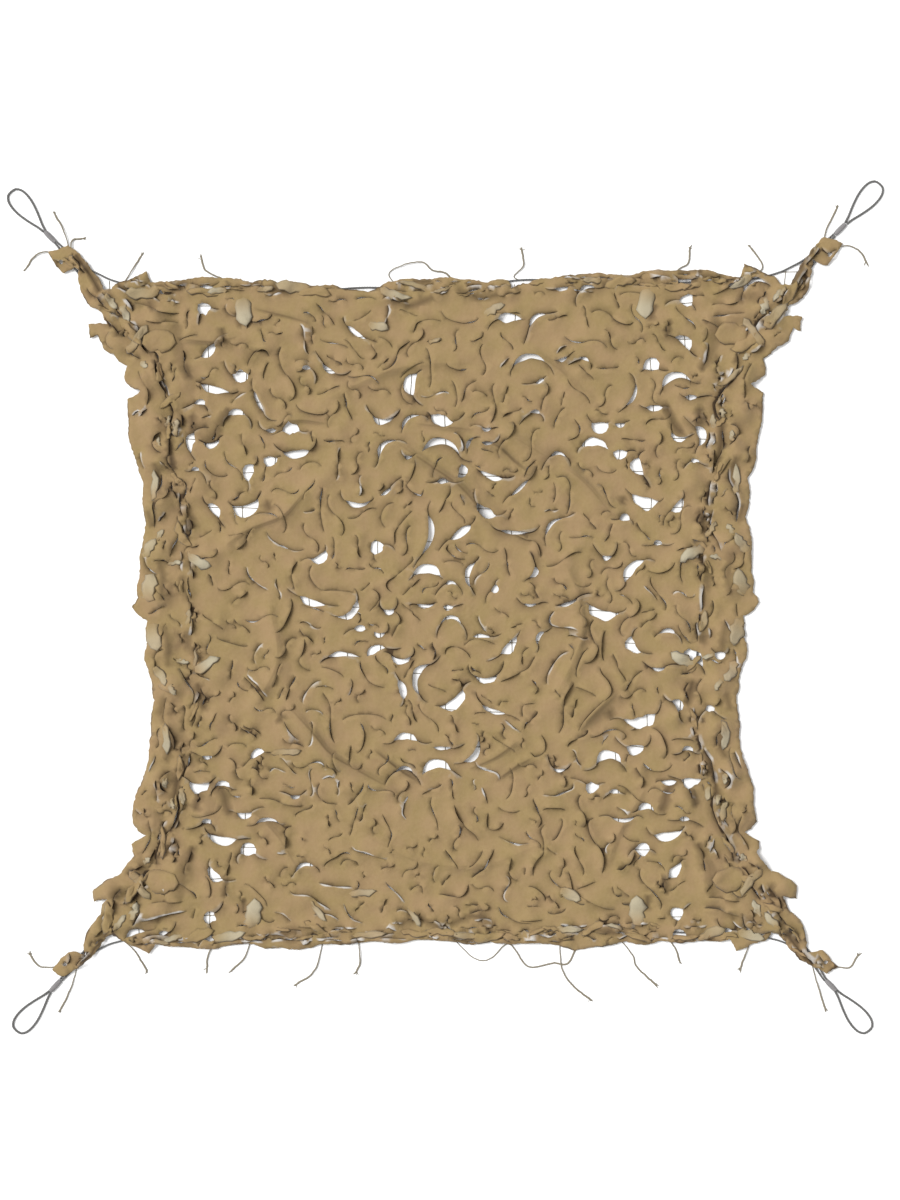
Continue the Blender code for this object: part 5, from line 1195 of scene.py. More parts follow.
def build_cloth(cloth):
    dice = np.random.default_rng(cloth.seed)
    rims = plan_rims("cloth")
    outline = fine_outline(rims[0], cloth, dice)
    paths = rope_paths(0.01)
    slits = Slits(outline, cloth)
    open_slits(slits, rims[1:], dice)
    drawn_slits(slits, dice)
    rope_slits(slits, paths, dice)
    closed_slits(slits, dice)
    drape = Drape(paths)
    borders, extra = sheet_points(outline, slits, drape, cloth, dice)
    plan, faces = triangulated(borders, extra)
    used, index = np.unique(faces, return_inverse=True)
    plan = plan[used]
    faces = facing_up(plan, index.reshape(faces.shape))
    move, looks, soft = lifted_lips(plan, slits, cloth)
    raised, creased = drape.height(plan)
    height = np.clip(raised + move[:, 2], drape.floor(plan), CLOTH_TOP)
    sheets = [np.column_stack([plan + move[:, :2], height])]
    corners, folded, pales = [faces], [np.maximum(creased, soft)], [np.zeros(len(plan))]
    looks = [shaded_rim(plan, slits, looks)]
    tree = plan_tree(sheets[0][:, :2])

    def ground(points):
        tops = []
        for x, y in points:
            near = tree.find_range((x, y, 0.0), 0.007) or [tree.find((x, y, 0.0))]
            tops.append(max(height[k] for _, k, _ in near))
        return np.array(tops)

    count = len(plan)
    for flap in turned_leaves() + edge_leaves(paths, outline, dice):
        places, triangles, pale, rim = leaf(flap, ground, dice)
        sheets.append(places)
        corners.append(triangles + count)
        folded.append(np.zeros(len(places)))
        looks.append(rim)
        pales.append(pale)
        count += len(places)
    places = np.vstack(sheets)
    places[:, 2] = np.minimum(places[:, 2], CLOTH_TOP)
    looks = np.vstack(looks)
    made = sheet_object("netting_cloth", places, np.vstack(corners), {
        "lip_distance": looks[:, 0], "lip_shade": looks[:, 1], "lip_pale": looks[:, 2],
        "fold_shade": np.concatenate(folded), "pale_back": np.concatenate(pales),
    })
    flat = made.data.uv_layers.new(name="flat")
    loops = np.empty(len(made.data.loops), np.int64)
    made.data.loops.foreach_get("vertex_index", loops)
    flat.data.foreach_set("uv", places[loops, :2].astype(np.float32).ravel())
    made.data.shade_smooth()
    print(f"cloth: {len(slits.made)} cuts, {len(places)} points, {sum(map(len, corners))} triangles")
    return made


# ---------------------------------------------------------------- materials


def shader_group(name, inputs, outputs):
    """An empty shader group with these sockets: (name, kind, default) in and (name, kind) out."""
    tree = bpy.data.node_groups.new(name, "ShaderNodeTree")
    for label, kind, default in inputs:
        socket = tree.interface.new_socket(label, in_out="INPUT", socket_type=kind)
        if default is not None:
            socket.default_value = default
    for label, kind in outputs:
        tree.interface.new_socket(label, in_out="OUTPUT", socket_type=kind)
    return tree


def plug(tree, socket, value):
    """Link an input to another node's output, or set it to a value."""
    if isinstance(value, bpy.types.NodeSocket):
        tree.links.new(value, socket)
    else:
        socket.default_value = value


def joined(tree, kind, place, **values):
    """A new node in a tree at a grid place. A key such as i2 is an input's number, a key with a
    capital is an input's name, and any other key is one of the node's own settings."""
    node = tree.nodes.new(kind)
    node.location = (place[0] * 200, place[1] * -180)
    for key, value in values.items():
        if key[0].isupper():
            plug(tree, node.inputs[key.replace("_", " ")], value)
        elif key[0] == "i" and key[1:].isdigit():
            plug(tree, node.inputs[int(key[1:])], value)
        else:
            setattr(node, key, value)
    return node


def maths(tree, place, operation, a, b=0.0, clamp=False):
    return joined(tree, "ShaderNodeMath", place, operation=operation, use_clamp=clamp, i0=a, i1=b).outputs[0]


def mixed(tree, place, factor, a, b):
    """Two colours mixed by a factor."""
    node = joined(tree, "ShaderNodeMix", place, data_type="RGBA", i0=factor, i6=a, i7=b)
    return node.outputs[2]


def weave_group():
    """A plain weave: over and under threads, as a height, and a slub that runs along them."""
    tree = shader_group(
        "Plain weave",
        [("Vector", "NodeSocketVector", None), ("Threads per metre", "NodeSocketFloat", 900.0)],
        [("Height", "NodeSocketFloat"), ("Slub", "NodeSocketFloat")],
    )
    start = joined(tree, "NodeGroupInput", (-5, 0))
    end = joined(tree, "NodeGroupOutput", (3, 0))
    scaled = joined(tree, "ShaderNodeVectorMath", (-4, 0), operation="SCALE",
                    i0=start.outputs[0], i3=start.outputs[1])
    parts = joined(tree, "ShaderNodeSeparateXYZ", (-3, 0), i0=scaled.outputs[0])
    across = maths(tree, (-2, 0), "SINE", maths(tree, (-2, 1), "MULTIPLY", parts.outputs[0], math.pi))
    along = maths(tree, (-2, 2), "SINE", maths(tree, (-2, 3), "MULTIPLY", parts.outputs[1], math.pi))
    product = maths(tree, (-1, 0), "MULTIPLY", across, along)
    height = maths(tree, (0, 0), "ABSOLUTE", product)
    slub = joined(tree, "ShaderNodeTexNoise", (-1, 2), i0=scaled.outputs[0], i2=0.11, i3=2.0)
    tree.links.new(height, end.inputs[0])
    tree.links.new(slub.outputs[0], end.inputs[1])
    return tree


def new_material(name):
    """An empty material, with its node tree and its shader."""
    made = bpy.data.materials.new(name)
    made.use_nodes = True
    return made, made.node_tree, made.node_tree.nodes["Principled BSDF"]


def cloth_material(cloth, weave):
    """Dyed cloth: soft patches and paler slubs, the pale back of turned leaves, painted shade along the cut
    lips, beside them and in the creases and hollows, and a pale strip on raised lips that is partly their
    pale back and partly a painted highlight.
    """
    made, tree, shader = new_material("netting_cloth")
    coordinates = joined(tree, "ShaderNodeTexCoord", (-9, 0)).outputs
    threads = joined(tree, "ShaderNodeGroup", (-7, 2), node_tree=weave, i0=coordinates["UV"],
                     i1=cloth.threads)
    patches, grain, crumple = (
        joined(tree, "ShaderNodeTexNoise", (-7, row), i0=coordinates["Object"], i2=scale, i3=4.0)
        for row, scale in ((0, 17.0), (1, 120.0), (3, 55.0))
    )
    looks = [
        joined(tree, "ShaderNodeAttribute", (-7, -1 - k), attribute_name=name).outputs["Fac"]
        for k, name in enumerate(("lip_distance", "lip_shade", "lip_pale", "fold_shade", "pale_back"))
    ]
    spread = joined(tree, "ShaderNodeMapRange", (-6, 0), i0=patches.outputs[0], i1=0.35, i2=0.65)
    tone = mixed(tree, (-5, 0), spread.outputs[0], (*cloth.colour, 1), (*cloth.second_colour, 1))
    fine = maths(tree, (-5, 1), "MULTIPLY", grain.outputs[0], 0.5)
    tone = mixed(tree, (-4, 0), fine, tone, (*cloth.worn_colour, 1))
    tone = mixed(tree, (-4, -1), looks[4], tone, (*cloth.back_colour, 1))
    edge, strip = (
        joined(tree, "ShaderNodeMapRange", (-6, row), interpolation_type="SMOOTHSTEP", i0=looks[0],
               i1=near, i2=far, i3=1.0, i4=0.0)
        for row, near, far in ((-1, 0.8, 3.8), (-2, 1.6, 4.2))
    )
    # The raised lip's pale strip: partly the cloth's pale back and partly a painted highlight.
    pale_lip_and_highlight = maths(tree, (-5, -2), "MULTIPLY", looks[2], strip.outputs[0], clamp=True)
    tone = mixed(tree, (-4, -2), pale_lip_and_highlight, tone, (*cloth.lip_pale_colour, 1))
    # Painted shade: a dark line along the lower lip of each cut, and the painted shade of the creases, the
    # hollows and the cuts' sides.
    lip = maths(tree, (-5, -1), "MULTIPLY", looks[1], edge.outputs[0])
    deep = maths(tree, (-4, -3), "MAXIMUM", lip, looks[3])
    shaded = maths(tree, (-3, -1), "MULTIPLY", deep, cloth.lip_darkness, clamp=True)
    tone = mixed(tree, (-3, 0), shaded, tone, (*cloth.lip_colour, 1))
    tree.links.new(tone, shader.inputs["Base Color"])
    for key, value in (("Roughness", 0.92), ("Specular IOR Level", 0.25), ("Sheen Weight", 0.12)):
        shader.inputs[key].default_value = value
    soft = joined(tree, "ShaderNodeBump", (-3, 3), i0=0.5, i1=0.004, Height=crumple.outputs[0])
    woven = joined(tree, "ShaderNodeBump", (-2, 3), i0=0.35, i1=0.0004, Height=threads.outputs[0],
                   Normal=soft.outputs[0])
    tree.links.new(woven.outputs[0], shader.inputs["Normal"])
    return made


def plain_material(name, colour, roughness):
    made, _, shader = new_material(name)
    shader.inputs["Base Color"].default_value = (*colour, 1)
    shader.inputs["Roughness"].default_value = roughness
    return made


# ---------------------------------------------------------------- strings and ropes


def geometry_group(name, inputs):
    """A geometry tree with a mesh in and out and these named inputs: (name, kind, default)."""
    tree = bpy.data.node_groups.new(name, "GeometryNodeTree")
    tree.interface.new_socket("Geometry", in_out="INPUT", socket_type="NodeSocketGeometry")
    tree.interface.new_socket("Geometry", in_out="OUTPUT", socket_type="NodeSocketGeometry")
    for label, kind, default in inputs:
        socket = tree.interface.new_socket(label, in_out="INPUT", socket_type=kind)
        if default is not None:
            socket.default_value = default
    return tree, joined(tree, "NodeGroupInput", (0, 0)), joined(tree, "NodeGroupOutput", (12, 0))


def finished_strands(tree, geometry, material, end):
    """The tree's last steps: smooth shading, instances made real and the material set."""
    smooth = joined(tree, "GeometryNodeSetShadeSmooth", (9, 0), Geometry=geometry)
    real = joined(tree, "GeometryNodeRealizeInstances", (10, 0), Geometry=smooth.outputs[0])
    painted = joined(tree, "GeometryNodeSetMaterial", (11, 0), Geometry=real.outputs[0],
                     Material=material)
    tree.links.new(painted.outputs[0], end.inputs[0])


def laid_rope_tree():
    """A rope of strands laid round each other: a lobed section that turns as it runs."""
    tree, start, end = geometry_group("Laid rope", [
        ("Diameter", "NodeSocketFloat", 0.005), ("Strands", "NodeSocketInt", 3),
        ("Lay", "NodeSocketFloat", 0.02), ("Step", "NodeSocketFloat", 0.0017),
        ("Groove", "NodeSocketFloat", 0.2), ("Material", "NodeSocketMaterial", None),
    ])
    _, diameter, strands, lay, step, groove, material = start.outputs[:7]
    line = joined(tree, "GeometryNodeMeshToCurve", (1, 0), i0=start.outputs[0])
    even = joined(tree, "GeometryNodeResampleCurve", (2, 0), mode="LENGTH", Curve=line.outputs[0],
                  Length=step)
    level = joined(tree, "GeometryNodeSetCurveNormal", (3, 0), mode="Z_UP", Curve=even.outputs[0])
    run = joined(tree, "GeometryNodeSplineParameter", (2, 2)).outputs["Length"]
    turns = maths(tree, (3, 2), "DIVIDE", run, lay)
    turned = joined(tree, "GeometryNodeSetCurveTilt", (4, 0), Curve=level.outputs[0],
                    Tilt=maths(tree, (3, 3), "MULTIPLY", turns, 2 * math.pi))
    ring = joined(tree, "GeometryNodeCurvePrimitiveCircle", (2, 4), Resolution=12, Radius=1.0)
    place = joined(tree, "GeometryNodeInputPosition", (2, 5)).outputs[0]
    parts = joined(tree, "ShaderNodeSeparateXYZ", (3, 5), i0=place)
    angle = maths(tree, (4, 5), "ARCTAN2", parts.outputs[1], parts.outputs[0])
    wave = maths(tree, (6, 5), "COSINE", maths(tree, (5, 5), "MULTIPLY", angle, strands))
    dip = maths(tree, (7, 5), "MULTIPLY", maths(tree, (7, 6), "SUBTRACT", wave, 1.0), groove)
    share = maths(tree, (8, 5), "ADD", maths(tree, (8, 6), "MULTIPLY", dip, 0.5), 1.0)
    radius = maths(tree, (9, 5), "MULTIPLY", share, maths(tree, (9, 6), "MULTIPLY", diameter, 0.5))
    scaled = joined(tree, "ShaderNodeVectorMath", (6, 4), operation="SCALE", i0=place, i3=radius)
    lobed = joined(tree, "GeometryNodeSetPosition", (7, 3), Geometry=ring.outputs[0],
                   Position=scaled.outputs[0])
    swept = joined(tree, "GeometryNodeCurveToMesh", (8, 0), Curve=turned.outputs[0],
                   Profile_Curve=lobed.outputs[0], Fill_Caps=True)
    finished_strands(tree, swept.outputs[0], material, end)
    return tree


def knotted_string_tree():
    """Strings along every run of edges, each as thick as its points say, and their knots."""
    tree, start, end = geometry_group("Knotted string", [
        ("Diameter", "NodeSocketFloat", 0.0018), ("Sides", "NodeSocketInt", 6),
        ("Knot", "NodeSocketFloat", 0.0023), ("Seed", "NodeSocketInt", 3),
        ("Material", "NodeSocketMaterial", None),
    ])
    _, diameter, sides, knot, seed, material = start.outputs[:6]
    line = joined(tree, "GeometryNodeMeshToCurve", (1, 0), i0=start.outputs[0])
    thick, tied = (
        joined(tree, "GeometryNodeInputNamedAttribute", (1, row), data_type="FLOAT", Name=name)
        for row, name in ((1, "thick"), (4, "knot"))
    )
    ring = joined(tree, "GeometryNodeCurvePrimitiveCircle", (2, 2), Resolution=sides,
                  Radius=maths(tree, (1, 2), "MULTIPLY", diameter, 0.5))
    swept = joined(tree, "GeometryNodeCurveToMesh", (3, 0), Curve=line.outputs[0],
                   Profile_Curve=ring.outputs[0], Scale=thick.outputs[0], Fill_Caps=True)
    lump = joined(tree, "GeometryNodeMeshIcoSphere", (2, 5), Subdivisions=2, Radius=knot)
    spin, size = (
        joined(tree, "FunctionNodeRandomValue", (2, row), data_type="FLOAT_VECTOR", Min=low,
               Max=high, Seed=seed)
        for row, low, high in (
            (6, (0.0, 0.0, 0.0), (0.4, 0.4, 2 * math.pi)), (7, (1.0, 0.8, 0.7), (1.5, 1.1, 0.85)))
    )
    knots = joined(tree, "GeometryNodeInstanceOnPoints", (4, 4), Points=start.outputs[0],
                   Selection=tied.outputs[0], Instance=lump.outputs[0],
                   Rotation=spin.outputs[0], Scale=size.outputs[0])
    both = joined(tree, "GeometryNodeJoinGeometry", (6, 0))
    tree.links.new(knots.outputs[0], both.inputs[0])
    tree.links.new(swept.outputs[0], both.inputs[0])
    finished_strands(tree, both.outputs[0], material, end)
    return tree


def line_object(name, lines, thick=None, knots=()):
    """An object whose mesh is runs of edges, with how thick each point is and which are knots."""
    points, edges, widths = [], [], []
    for number, line in enumerate(lines):
        first = len(points)
        points += [tuple(p) for p in line]
        edges += [(first + k, first + k + 1) for k in range(len(line) - 1)]
        widths += [1.0] * len(line) if thick is None else list(thick[number])
    tied = [0.0] * len(points) + [1.0] * len(knots)
    points += [tuple(p) for p in knots]
    widths += [1.0] * len(knots)
    mesh = bpy.data.meshes.new(name)
    mesh.from_pydata(points, edges, [])
    for key, values in (("thick", widths), ("knot", tied)):
        mesh.attributes.new(key, "FLOAT", "POINT").data.foreach_set("value", values)
    return shown(name, mesh)


def grown(source, tree, **inputs):
    """The object's mesh as the tree makes it, with the tree's named inputs set."""
    modifier = source.modifiers.new("made", "NODES")
    modifier.node_group = tree
    for item in tree.interface.items_tree:
        key = item.name.lower()
        if item.in_out == "INPUT" and key in inputs:
            modifier[item.identifier] = inputs[key]
    graph = bpy.context.evaluated_depsgraph_get()
    made = bpy.data.meshes.new_from_object(source.evaluated_get(graph))
    made.name = source.name
    source.modifiers.remove(modifier)
    old = source.data
    source.data = made
    bpy.data.meshes.remove(old)
    for key in ("thick", "knot"):
        if key in made.attributes:
            made.attributes.remove(made.attributes[key])
    return source


def strand_material(name, colour, second_colour, grain, roughness):
    """Spun fibre: streaks and flecks between two colours, and a fine fuzzy relief."""
    made, tree, shader = new_material(name)
    place = joined(tree, "ShaderNodeTexCoord", (-6, 0)).outputs["Object"]
    flecks = joined(tree, "ShaderNodeTexNoise", (-5, 0), i0=place, i2=grain, i3=3.0)
    soil = joined(tree, "ShaderNodeTexNoise", (-5, 1), i0=place, i2=14.0, i3=2.0)
    spread = joined(tree, "ShaderNodeMapRange", (-4, 0), i0=flecks.outputs[0], i1=0.3, i2=0.7)
    tone = mixed(tree, (-3, 0), spread.outputs[0], (*colour, 1), (*second_colour, 1))
    dark = tuple(c * 0.6 for c in colour)
    tone = mixed(tree, (-2, 0), maths(tree, (-3, 1), "MULTIPLY", soil.outputs[0], 0.5), tone, (*dark, 1))
    tree.links.new(tone, shader.inputs["Base Color"])
    shader.inputs["Roughness"].default_value = roughness
    relief = joined(tree, "ShaderNodeBump", (-2, 2), i0=0.4, i1=0.0004, Height=flecks.outputs[0])
    tree.links.new(relief.outputs[0], shader.inputs["Normal"])
    return made


def loop_path(corner):
    """The loop's centre line: out along one side, over the tip and back along the other."""
    outer, _, along, across = corner_axes(corner)
    right = [outer + (u * along + v * across) * CM for u, v in LOOP_RIGHT_SIDE]
    left = [outer + (u * along - v * across) * CM for u, v in reversed(LOOP_RIGHT_SIDE)]
    return smooth_path(right + left, 0.004)


def border_loop(ropes):
    """The net's border string, which runs under the four ropes."""
    return np.vstack([
        ropes["rope_left"][2:-2], ropes["rope_bottom"][2:-2],
        ropes["rope_right"][::-1][2:-2], ropes["rope_top"][::-1][2:-2],
    ])


def net_point(column, row, pitch):
    """A knot of the net: a square mesh that has been pulled a little out of true."""
    place = np.array((column, row)) * pitch
    return place + 0.020 * drift_at(place, 3.1, 1.0) + 0.008 * drift_at(place, 11.0, 4.0)


def net_lines(border, strings):
    """The net's strings from border to border, and its knots."""
    pitch = strings.pitch
    reach = int(1.1 / pitch)
    lines, knots = [], []
    for upright in (False, True):
        for line in range(-reach, reach + 1):
            nodes = [
                net_point(*((line, k) if upright else (k, line)), pitch)
                for k in range(-reach, reach + 1)
            ]
            path = smooth_path(nodes, NET_PATH_SPACING)
            for first, last in true_runs(in_polygon(path, border)):
                if (last - first) * NET_PATH_SPACING > pitch * 0.7:
                    lines.append(path[first:last])
            if upright:
                inside = in_polygon(np.array(nodes), border)
                knots += [p for p, ok in zip(nodes, inside) if ok]
    return lines, knots


def lifted(path, height):
    """A plan line at a height over the floor, which may be one number or one for each point."""
    return np.column_stack([path, np.broadcast_to(height, len(path))])


def build_net(strings, tree, material):
    border = border_loop(rope_paths(NET_PATH_SPACING))
    lines, knots = net_lines(border, strings)
    low = strings.diameter / 2 + OFF_THE_FLOOR
    runs = [lifted(np.vstack([border, border[:1]]), low)]
    runs += [lifted(line, low) for line in lines]
    places = [(*p, low + OFF_THE_FLOOR) for p in knots]
    made = line_object("net_strings", runs, knots=places)
    grown(made, tree, diameter=strings.diameter, sides=strings.sides, knot=strings.knot,
          material=material)
    return made


def frayed(end, heading, dice, spread):
    """What a string's cut end comes apart into: strands that fork, and thinner hairs."""
    strands = []
    for number in range(5):
        fork = number < 2
        turn = heading + (number - 0.5) * dice.uniform(0.1, 0.4) if fork else heading
        turn += dice.normal(0.0, 0.08 if fork else spread)
        length = dice.uniform(0.007, 0.016) if fork else dice.uniform(0.006, 0.013)
        rise = dice.uniform(-0.0002, 0.0015)
        bend = dice.normal(0.0, 0.25)
        line = [
            (end[0] + math.cos(turn + bend * share) * length * share,
             end[1] + math.sin(turn + bend * share) * length * share, end[2] + rise * share)
            for share in (0.0, 0.35, 0.7, 1.0)
        ]
        thick = np.array((1.0, 0.9, 0.7, 0.4)) if fork else np.array((0.4, 0.36, 0.3, 0.2))
        strands.append((np.array(line), thick))
    return strands


def build_loose_ends(strings, tree, material):
    dice = np.random.default_rng(strings.seed)
    border = border_loop(rope_paths(NET_PATH_SPACING))
    lines, widths = [], []
    low = strings.diameter / 2 + OFF_THE_FLOOR
    for table in LOOSE_ENDS:
        free = [np.array(placed(p)) for p in table[1:]]
        start = np.array(placed(table[0]))
        tied = border[int(np.argmin(np.linalg.norm(border - start, axis=1)))]
        path = smooth_path([tied] + free, 0.004)
        wander = np.cumsum(dice.normal(0.0, 0.00035, path.shape), axis=0)
        path = path + wander - np.linspace(0, 1, len(path))[:, None] * wander[-1] * 0.5
        share = np.linspace(0.0, 1.0, len(path))
        rise = dice.uniform(0.001, 0.007)
        height = low + rise * np.sin(np.pi * share) ** 2
        lines.append(lifted(path, height))
        widths.append(strings.loose_share * (0.6 + 0.8 * share ** 1.5))
        end, before = lines[-1][-1], lines[-1][-3]
        heading = math.atan2(end[1] - before[1], end[0] - before[0])
        for strand, thick in frayed(end, heading, dice, 0.5):
            lines.append(strand)
            widths.append(thick * strings.loose_share)
    made = line_object("loose_string_ends", lines, widths)
    grown(made, tree, diameter=strings.diameter, sides=strings.sides, material=material)
    return made


def whipping_line(corner, whipping):
    """The whipping's string, wound round the ropes in close turns from end to end."""
    outer, inner, _, _ = corner_axes(corner)
    along = inner - outer
    across = np.array((along[1], -along[0])) / np.linalg.norm(along)
    turns = int(np.linalg.norm(along) / whipping.pitch)
    share = np.linspace(0.0, 1.0, turns * 18 + 1)
    angle = 2 * np.pi * turns * share
    swell = 1.0 - 0.2 * (2 * share - 1) ** 2 + 0.03 * np.sin(angle * 0.37)
    wide = (whipping.width - whipping.string) / 2 * swell
    high = (whipping.height - whipping.string) / 2 * swell
    flat = outer + along * (0.03 + 0.94 * share)[:, None] + across * (np.cos(angle) * wide)[:, None]
    return np.column_stack([flat, whipping.height / 2 + np.sin(angle) * high])


def core_line(corner):
    """The middle line of the ropes inside a whipping."""
    outer, inner, _, _ = corner_axes(corner)
    share = np.linspace(0.04, 0.96, 9)[:, None]
    return outer + (inner - outer) * share


# ---------------------------------------------------------------- the add-on


class NettingClothSettings(PropertyGroup):
    seed: IntProperty(name="Seed", description="Which arrangement of cuts is made", default=7)
    thickness: FloatProperty(
        name="Thickness", description="How thick the cloth is", default=0.0009, unit="LENGTH")
    slit_length: FloatProperty(
        name="Cut length", description="Length of a closed cut", default=0.108, unit="LENGTH")
    slit_pitch: FloatProperty(
        name="Cut pitch", description="Distance between neighbouring cuts", default=0.062,
        unit="LENGTH")
    slit_jitter: FloatProperty(
        name="Cut jitter", description="How far a cut may stray from its row", default=0.007,
        unit="LENGTH")
    slit_spacing: FloatProperty(
        name="Cut spacing", description="Least cloth between two cuts", default=0.0095, unit="LENGTH")
    slit_width: FloatProperty(
        name="Cut width", description="Width of a closed cut", default=0.0005, unit="LENGTH")
    tail_length: FloatProperty(
        name="Tail length", description="How far a cut runs on past its mouth", default=0.045,
        unit="LENGTH")
    lip_spacing: FloatProperty(
        name="Lip spacing", description="Distance between points along a cut", default=0.0065,
        unit="LENGTH")
    lip_lift: FloatProperty(
        name="Lip lift", description="How far a cut's lip curls up", default=0.009, unit="LENGTH")
    lip_reach: FloatProperty(
        name="Lip reach", description="How much of the cloth a curled lip draws up", default=0.034,
        unit="LENGTH")
    lip_lap: FloatProperty(
        name="Lip lap", description="How far a raised lip lies over the other", default=0.0028,
        unit="LENGTH")
    shade_reach: FloatProperty(
        name="Shade reach", description="How far the soft shade beside a cut spreads", default=0.025,
        unit="LENGTH")
    shade_strength: FloatProperty(
        name="Shade strength", description="How dark the soft shade beside a cut is", default=0.48)
    mesh_spacing: FloatProperty(
        name="Mesh spacing", description="Distance between the sheet's points", default=0.0115,
        unit="LENGTH")
    edge_spacing: FloatProperty(
        name="Edge spacing", description="Distance between points along the edge", default=0.006,
        unit="LENGTH")
    threads: FloatProperty(name="Threads", description="Threads in a metre of the weave", default=900.0)
    colour: FloatVectorProperty(
        name="Colour", description="Main colour of the cloth", subtype="COLOR",
        default=(0.246, 0.161, 0.079))
    second_colour: FloatVectorProperty(
        name="Second colour", description="Colour of the dye's darker patches", subtype="COLOR",
        default=(0.219, 0.154, 0.061))
    worn_colour: FloatVectorProperty(
        name="Worn colour", description="Colour of the cloth's paler slubs", subtype="COLOR",
        default=(0.305, 0.220, 0.113))
    back_colour: FloatVectorProperty(
        name="Back colour", description="Colour of the cloth's unprinted back", subtype="COLOR",
        default=(0.345, 0.305, 0.215))
    # The raised lip's pale strip colour: partly the cloth's pale back and partly a painted highlight.
    lip_pale_colour: FloatVectorProperty(
        name="Pale lip colour", description="Colour of a lip that shows its back", subtype="COLOR",
        default=(0.50, 0.475, 0.44))
    lip_colour: FloatVectorProperty(
        name="Lip colour", description="Colour in the shade of a lip", subtype="COLOR",
        default=(0.052, 0.031, 0.014))
    lip_darkness: FloatProperty(
        name="Lip darkness", description="How dark the shade of a lip is", default=0.9)


class NettingStringSettings(PropertyGroup):
    seed: IntProperty(name="Seed", description="How the loose ends lie", default=11)
    pitch: FloatProperty(
        name="Pitch", description="Side of the net's square mesh", default=0.085, unit="LENGTH")
    diameter: FloatProperty(
        name="Diameter", description="Thickness of the string", default=0.0018, unit="LENGTH")
    sides: IntProperty(name="Sides", description="Sides of the string's section", default=6)
    knot: FloatProperty(
        name="Knot", description="Half the width of a knot", default=0.0021, unit="LENGTH")
    loose_share: FloatProperty(
        name="Loose end thickness", description="A loose end's thickness, as a share of the string's",
        default=2.1)
    colour: FloatVectorProperty(
        name="Colour", description="Main colour of the string", subtype="COLOR",
        default=(0.17, 0.148, 0.108))
    second_colour: FloatVectorProperty(
        name="Second colour", description="Colour of the string's paler fibres", subtype="COLOR",
        default=(0.25, 0.215, 0.155))


class RopeSettings(PropertyGroup):
    diameter: FloatProperty(
        name="Diameter", description="Thickness of the ropes", default=ROPE_DIAMETER, unit="LENGTH")
    lay: FloatProperty(
        name="Lay", description="Length in which a strand goes once round", default=0.020,
        unit="LENGTH")
    groove: FloatProperty(
        name="Groove", description="Depth between strands, as a share of the radius", default=0.22)
    fullness: FloatProperty(
        name="Fullness", description="Width over a loop's strands, as a share of the diameter",
        default=1.2)
    colour: FloatVectorProperty(
        name="Colour", description="Main colour of the ropes", subtype="COLOR",
        default=(0.085, 0.083, 0.080))
    second_colour: FloatVectorProperty(
        name="Second colour", description="Colour of the ropes' paler fibres", subtype="COLOR",
        default=(0.15, 0.147, 0.140))


class WhippingSettings(PropertyGroup):
    width: FloatProperty(name="Width", description="Width of a whipping", default=0.013, unit="LENGTH")
    height: FloatProperty(
        name="Height", description="Height of a whipping", default=0.0096, unit="LENGTH")
    string: FloatProperty(
        name="String", description="Thickness of the wound string", default=0.0017, unit="LENGTH")
    pitch: FloatProperty(
        name="Pitch", description="Distance between turns", default=0.0016, unit="LENGTH")
    colour: FloatVectorProperty(
        name="Colour", description="Main colour of the whippings", subtype="COLOR",
        default=(0.19, 0.18, 0.18))
    second_colour: FloatVectorProperty(
        name="Second colour", description="Colour of their paler fibres", subtype="COLOR",
        default=(0.29, 0.28, 0.28))


class StageSettings(PropertyGroup):
    floor_colour: FloatVectorProperty(
        name="Floor colour", description="Colour of the floor", subtype="COLOR",
        default=(0.86, 0.86, 0.86))
    lens: FloatProperty(
        name="Lens", description="The camera's focal length", default=100.0, unit="CAMERA")
    picture_height: FloatProperty(
        name="Picture height", description="How much of the floor the picture shows, top to bottom",
        default=3.0, unit="LENGTH")
    sky: FloatProperty(name="Sky", description="Strength of the even light", default=0.78)
    lamp: FloatProperty(name="Lamp", description="Strength of the soft lamp", default=3.4)
    softness: FloatProperty(
        name="Softness", description="Angle that the soft lamp fills", default=0.5, unit="ROTATION")


class NETTING_OT_cloth(Operator):
    """Build the incised cloth"""

    bl_idname = "netting.cloth"
    bl_label = "Incised cloth"

    def execute(self, context):
        settings = context.scene.netting_cloth
        made = build_cloth(settings)
        made.data.materials.append(cloth_material(settings, weave_group()))
        thick = made.modifiers.new("thickness", "SOLIDIFY")
        thick.thickness = settings.thickness
        thick.offset = 1.0
        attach(made, "root")
        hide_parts("cloth")
        return {"FINISHED"}


class NETTING_OT_net(Operator):
    """Build the string net under the cloth"""

    bl_idname = "netting.net"
    bl_label = "String net"

    def execute(self, context):
        settings = context.scene.netting_strings
        tree = knotted_string_tree()
        finish = strand_material("net_string", settings.colour, settings.second_colour, 900.0, 0.9)
        net = build_net(settings, tree, finish)
        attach(net, "root")
        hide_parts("net")
        ends = build_loose_ends(settings, tree, finish)
        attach(ends, "root")
        return {"FINISHED"}


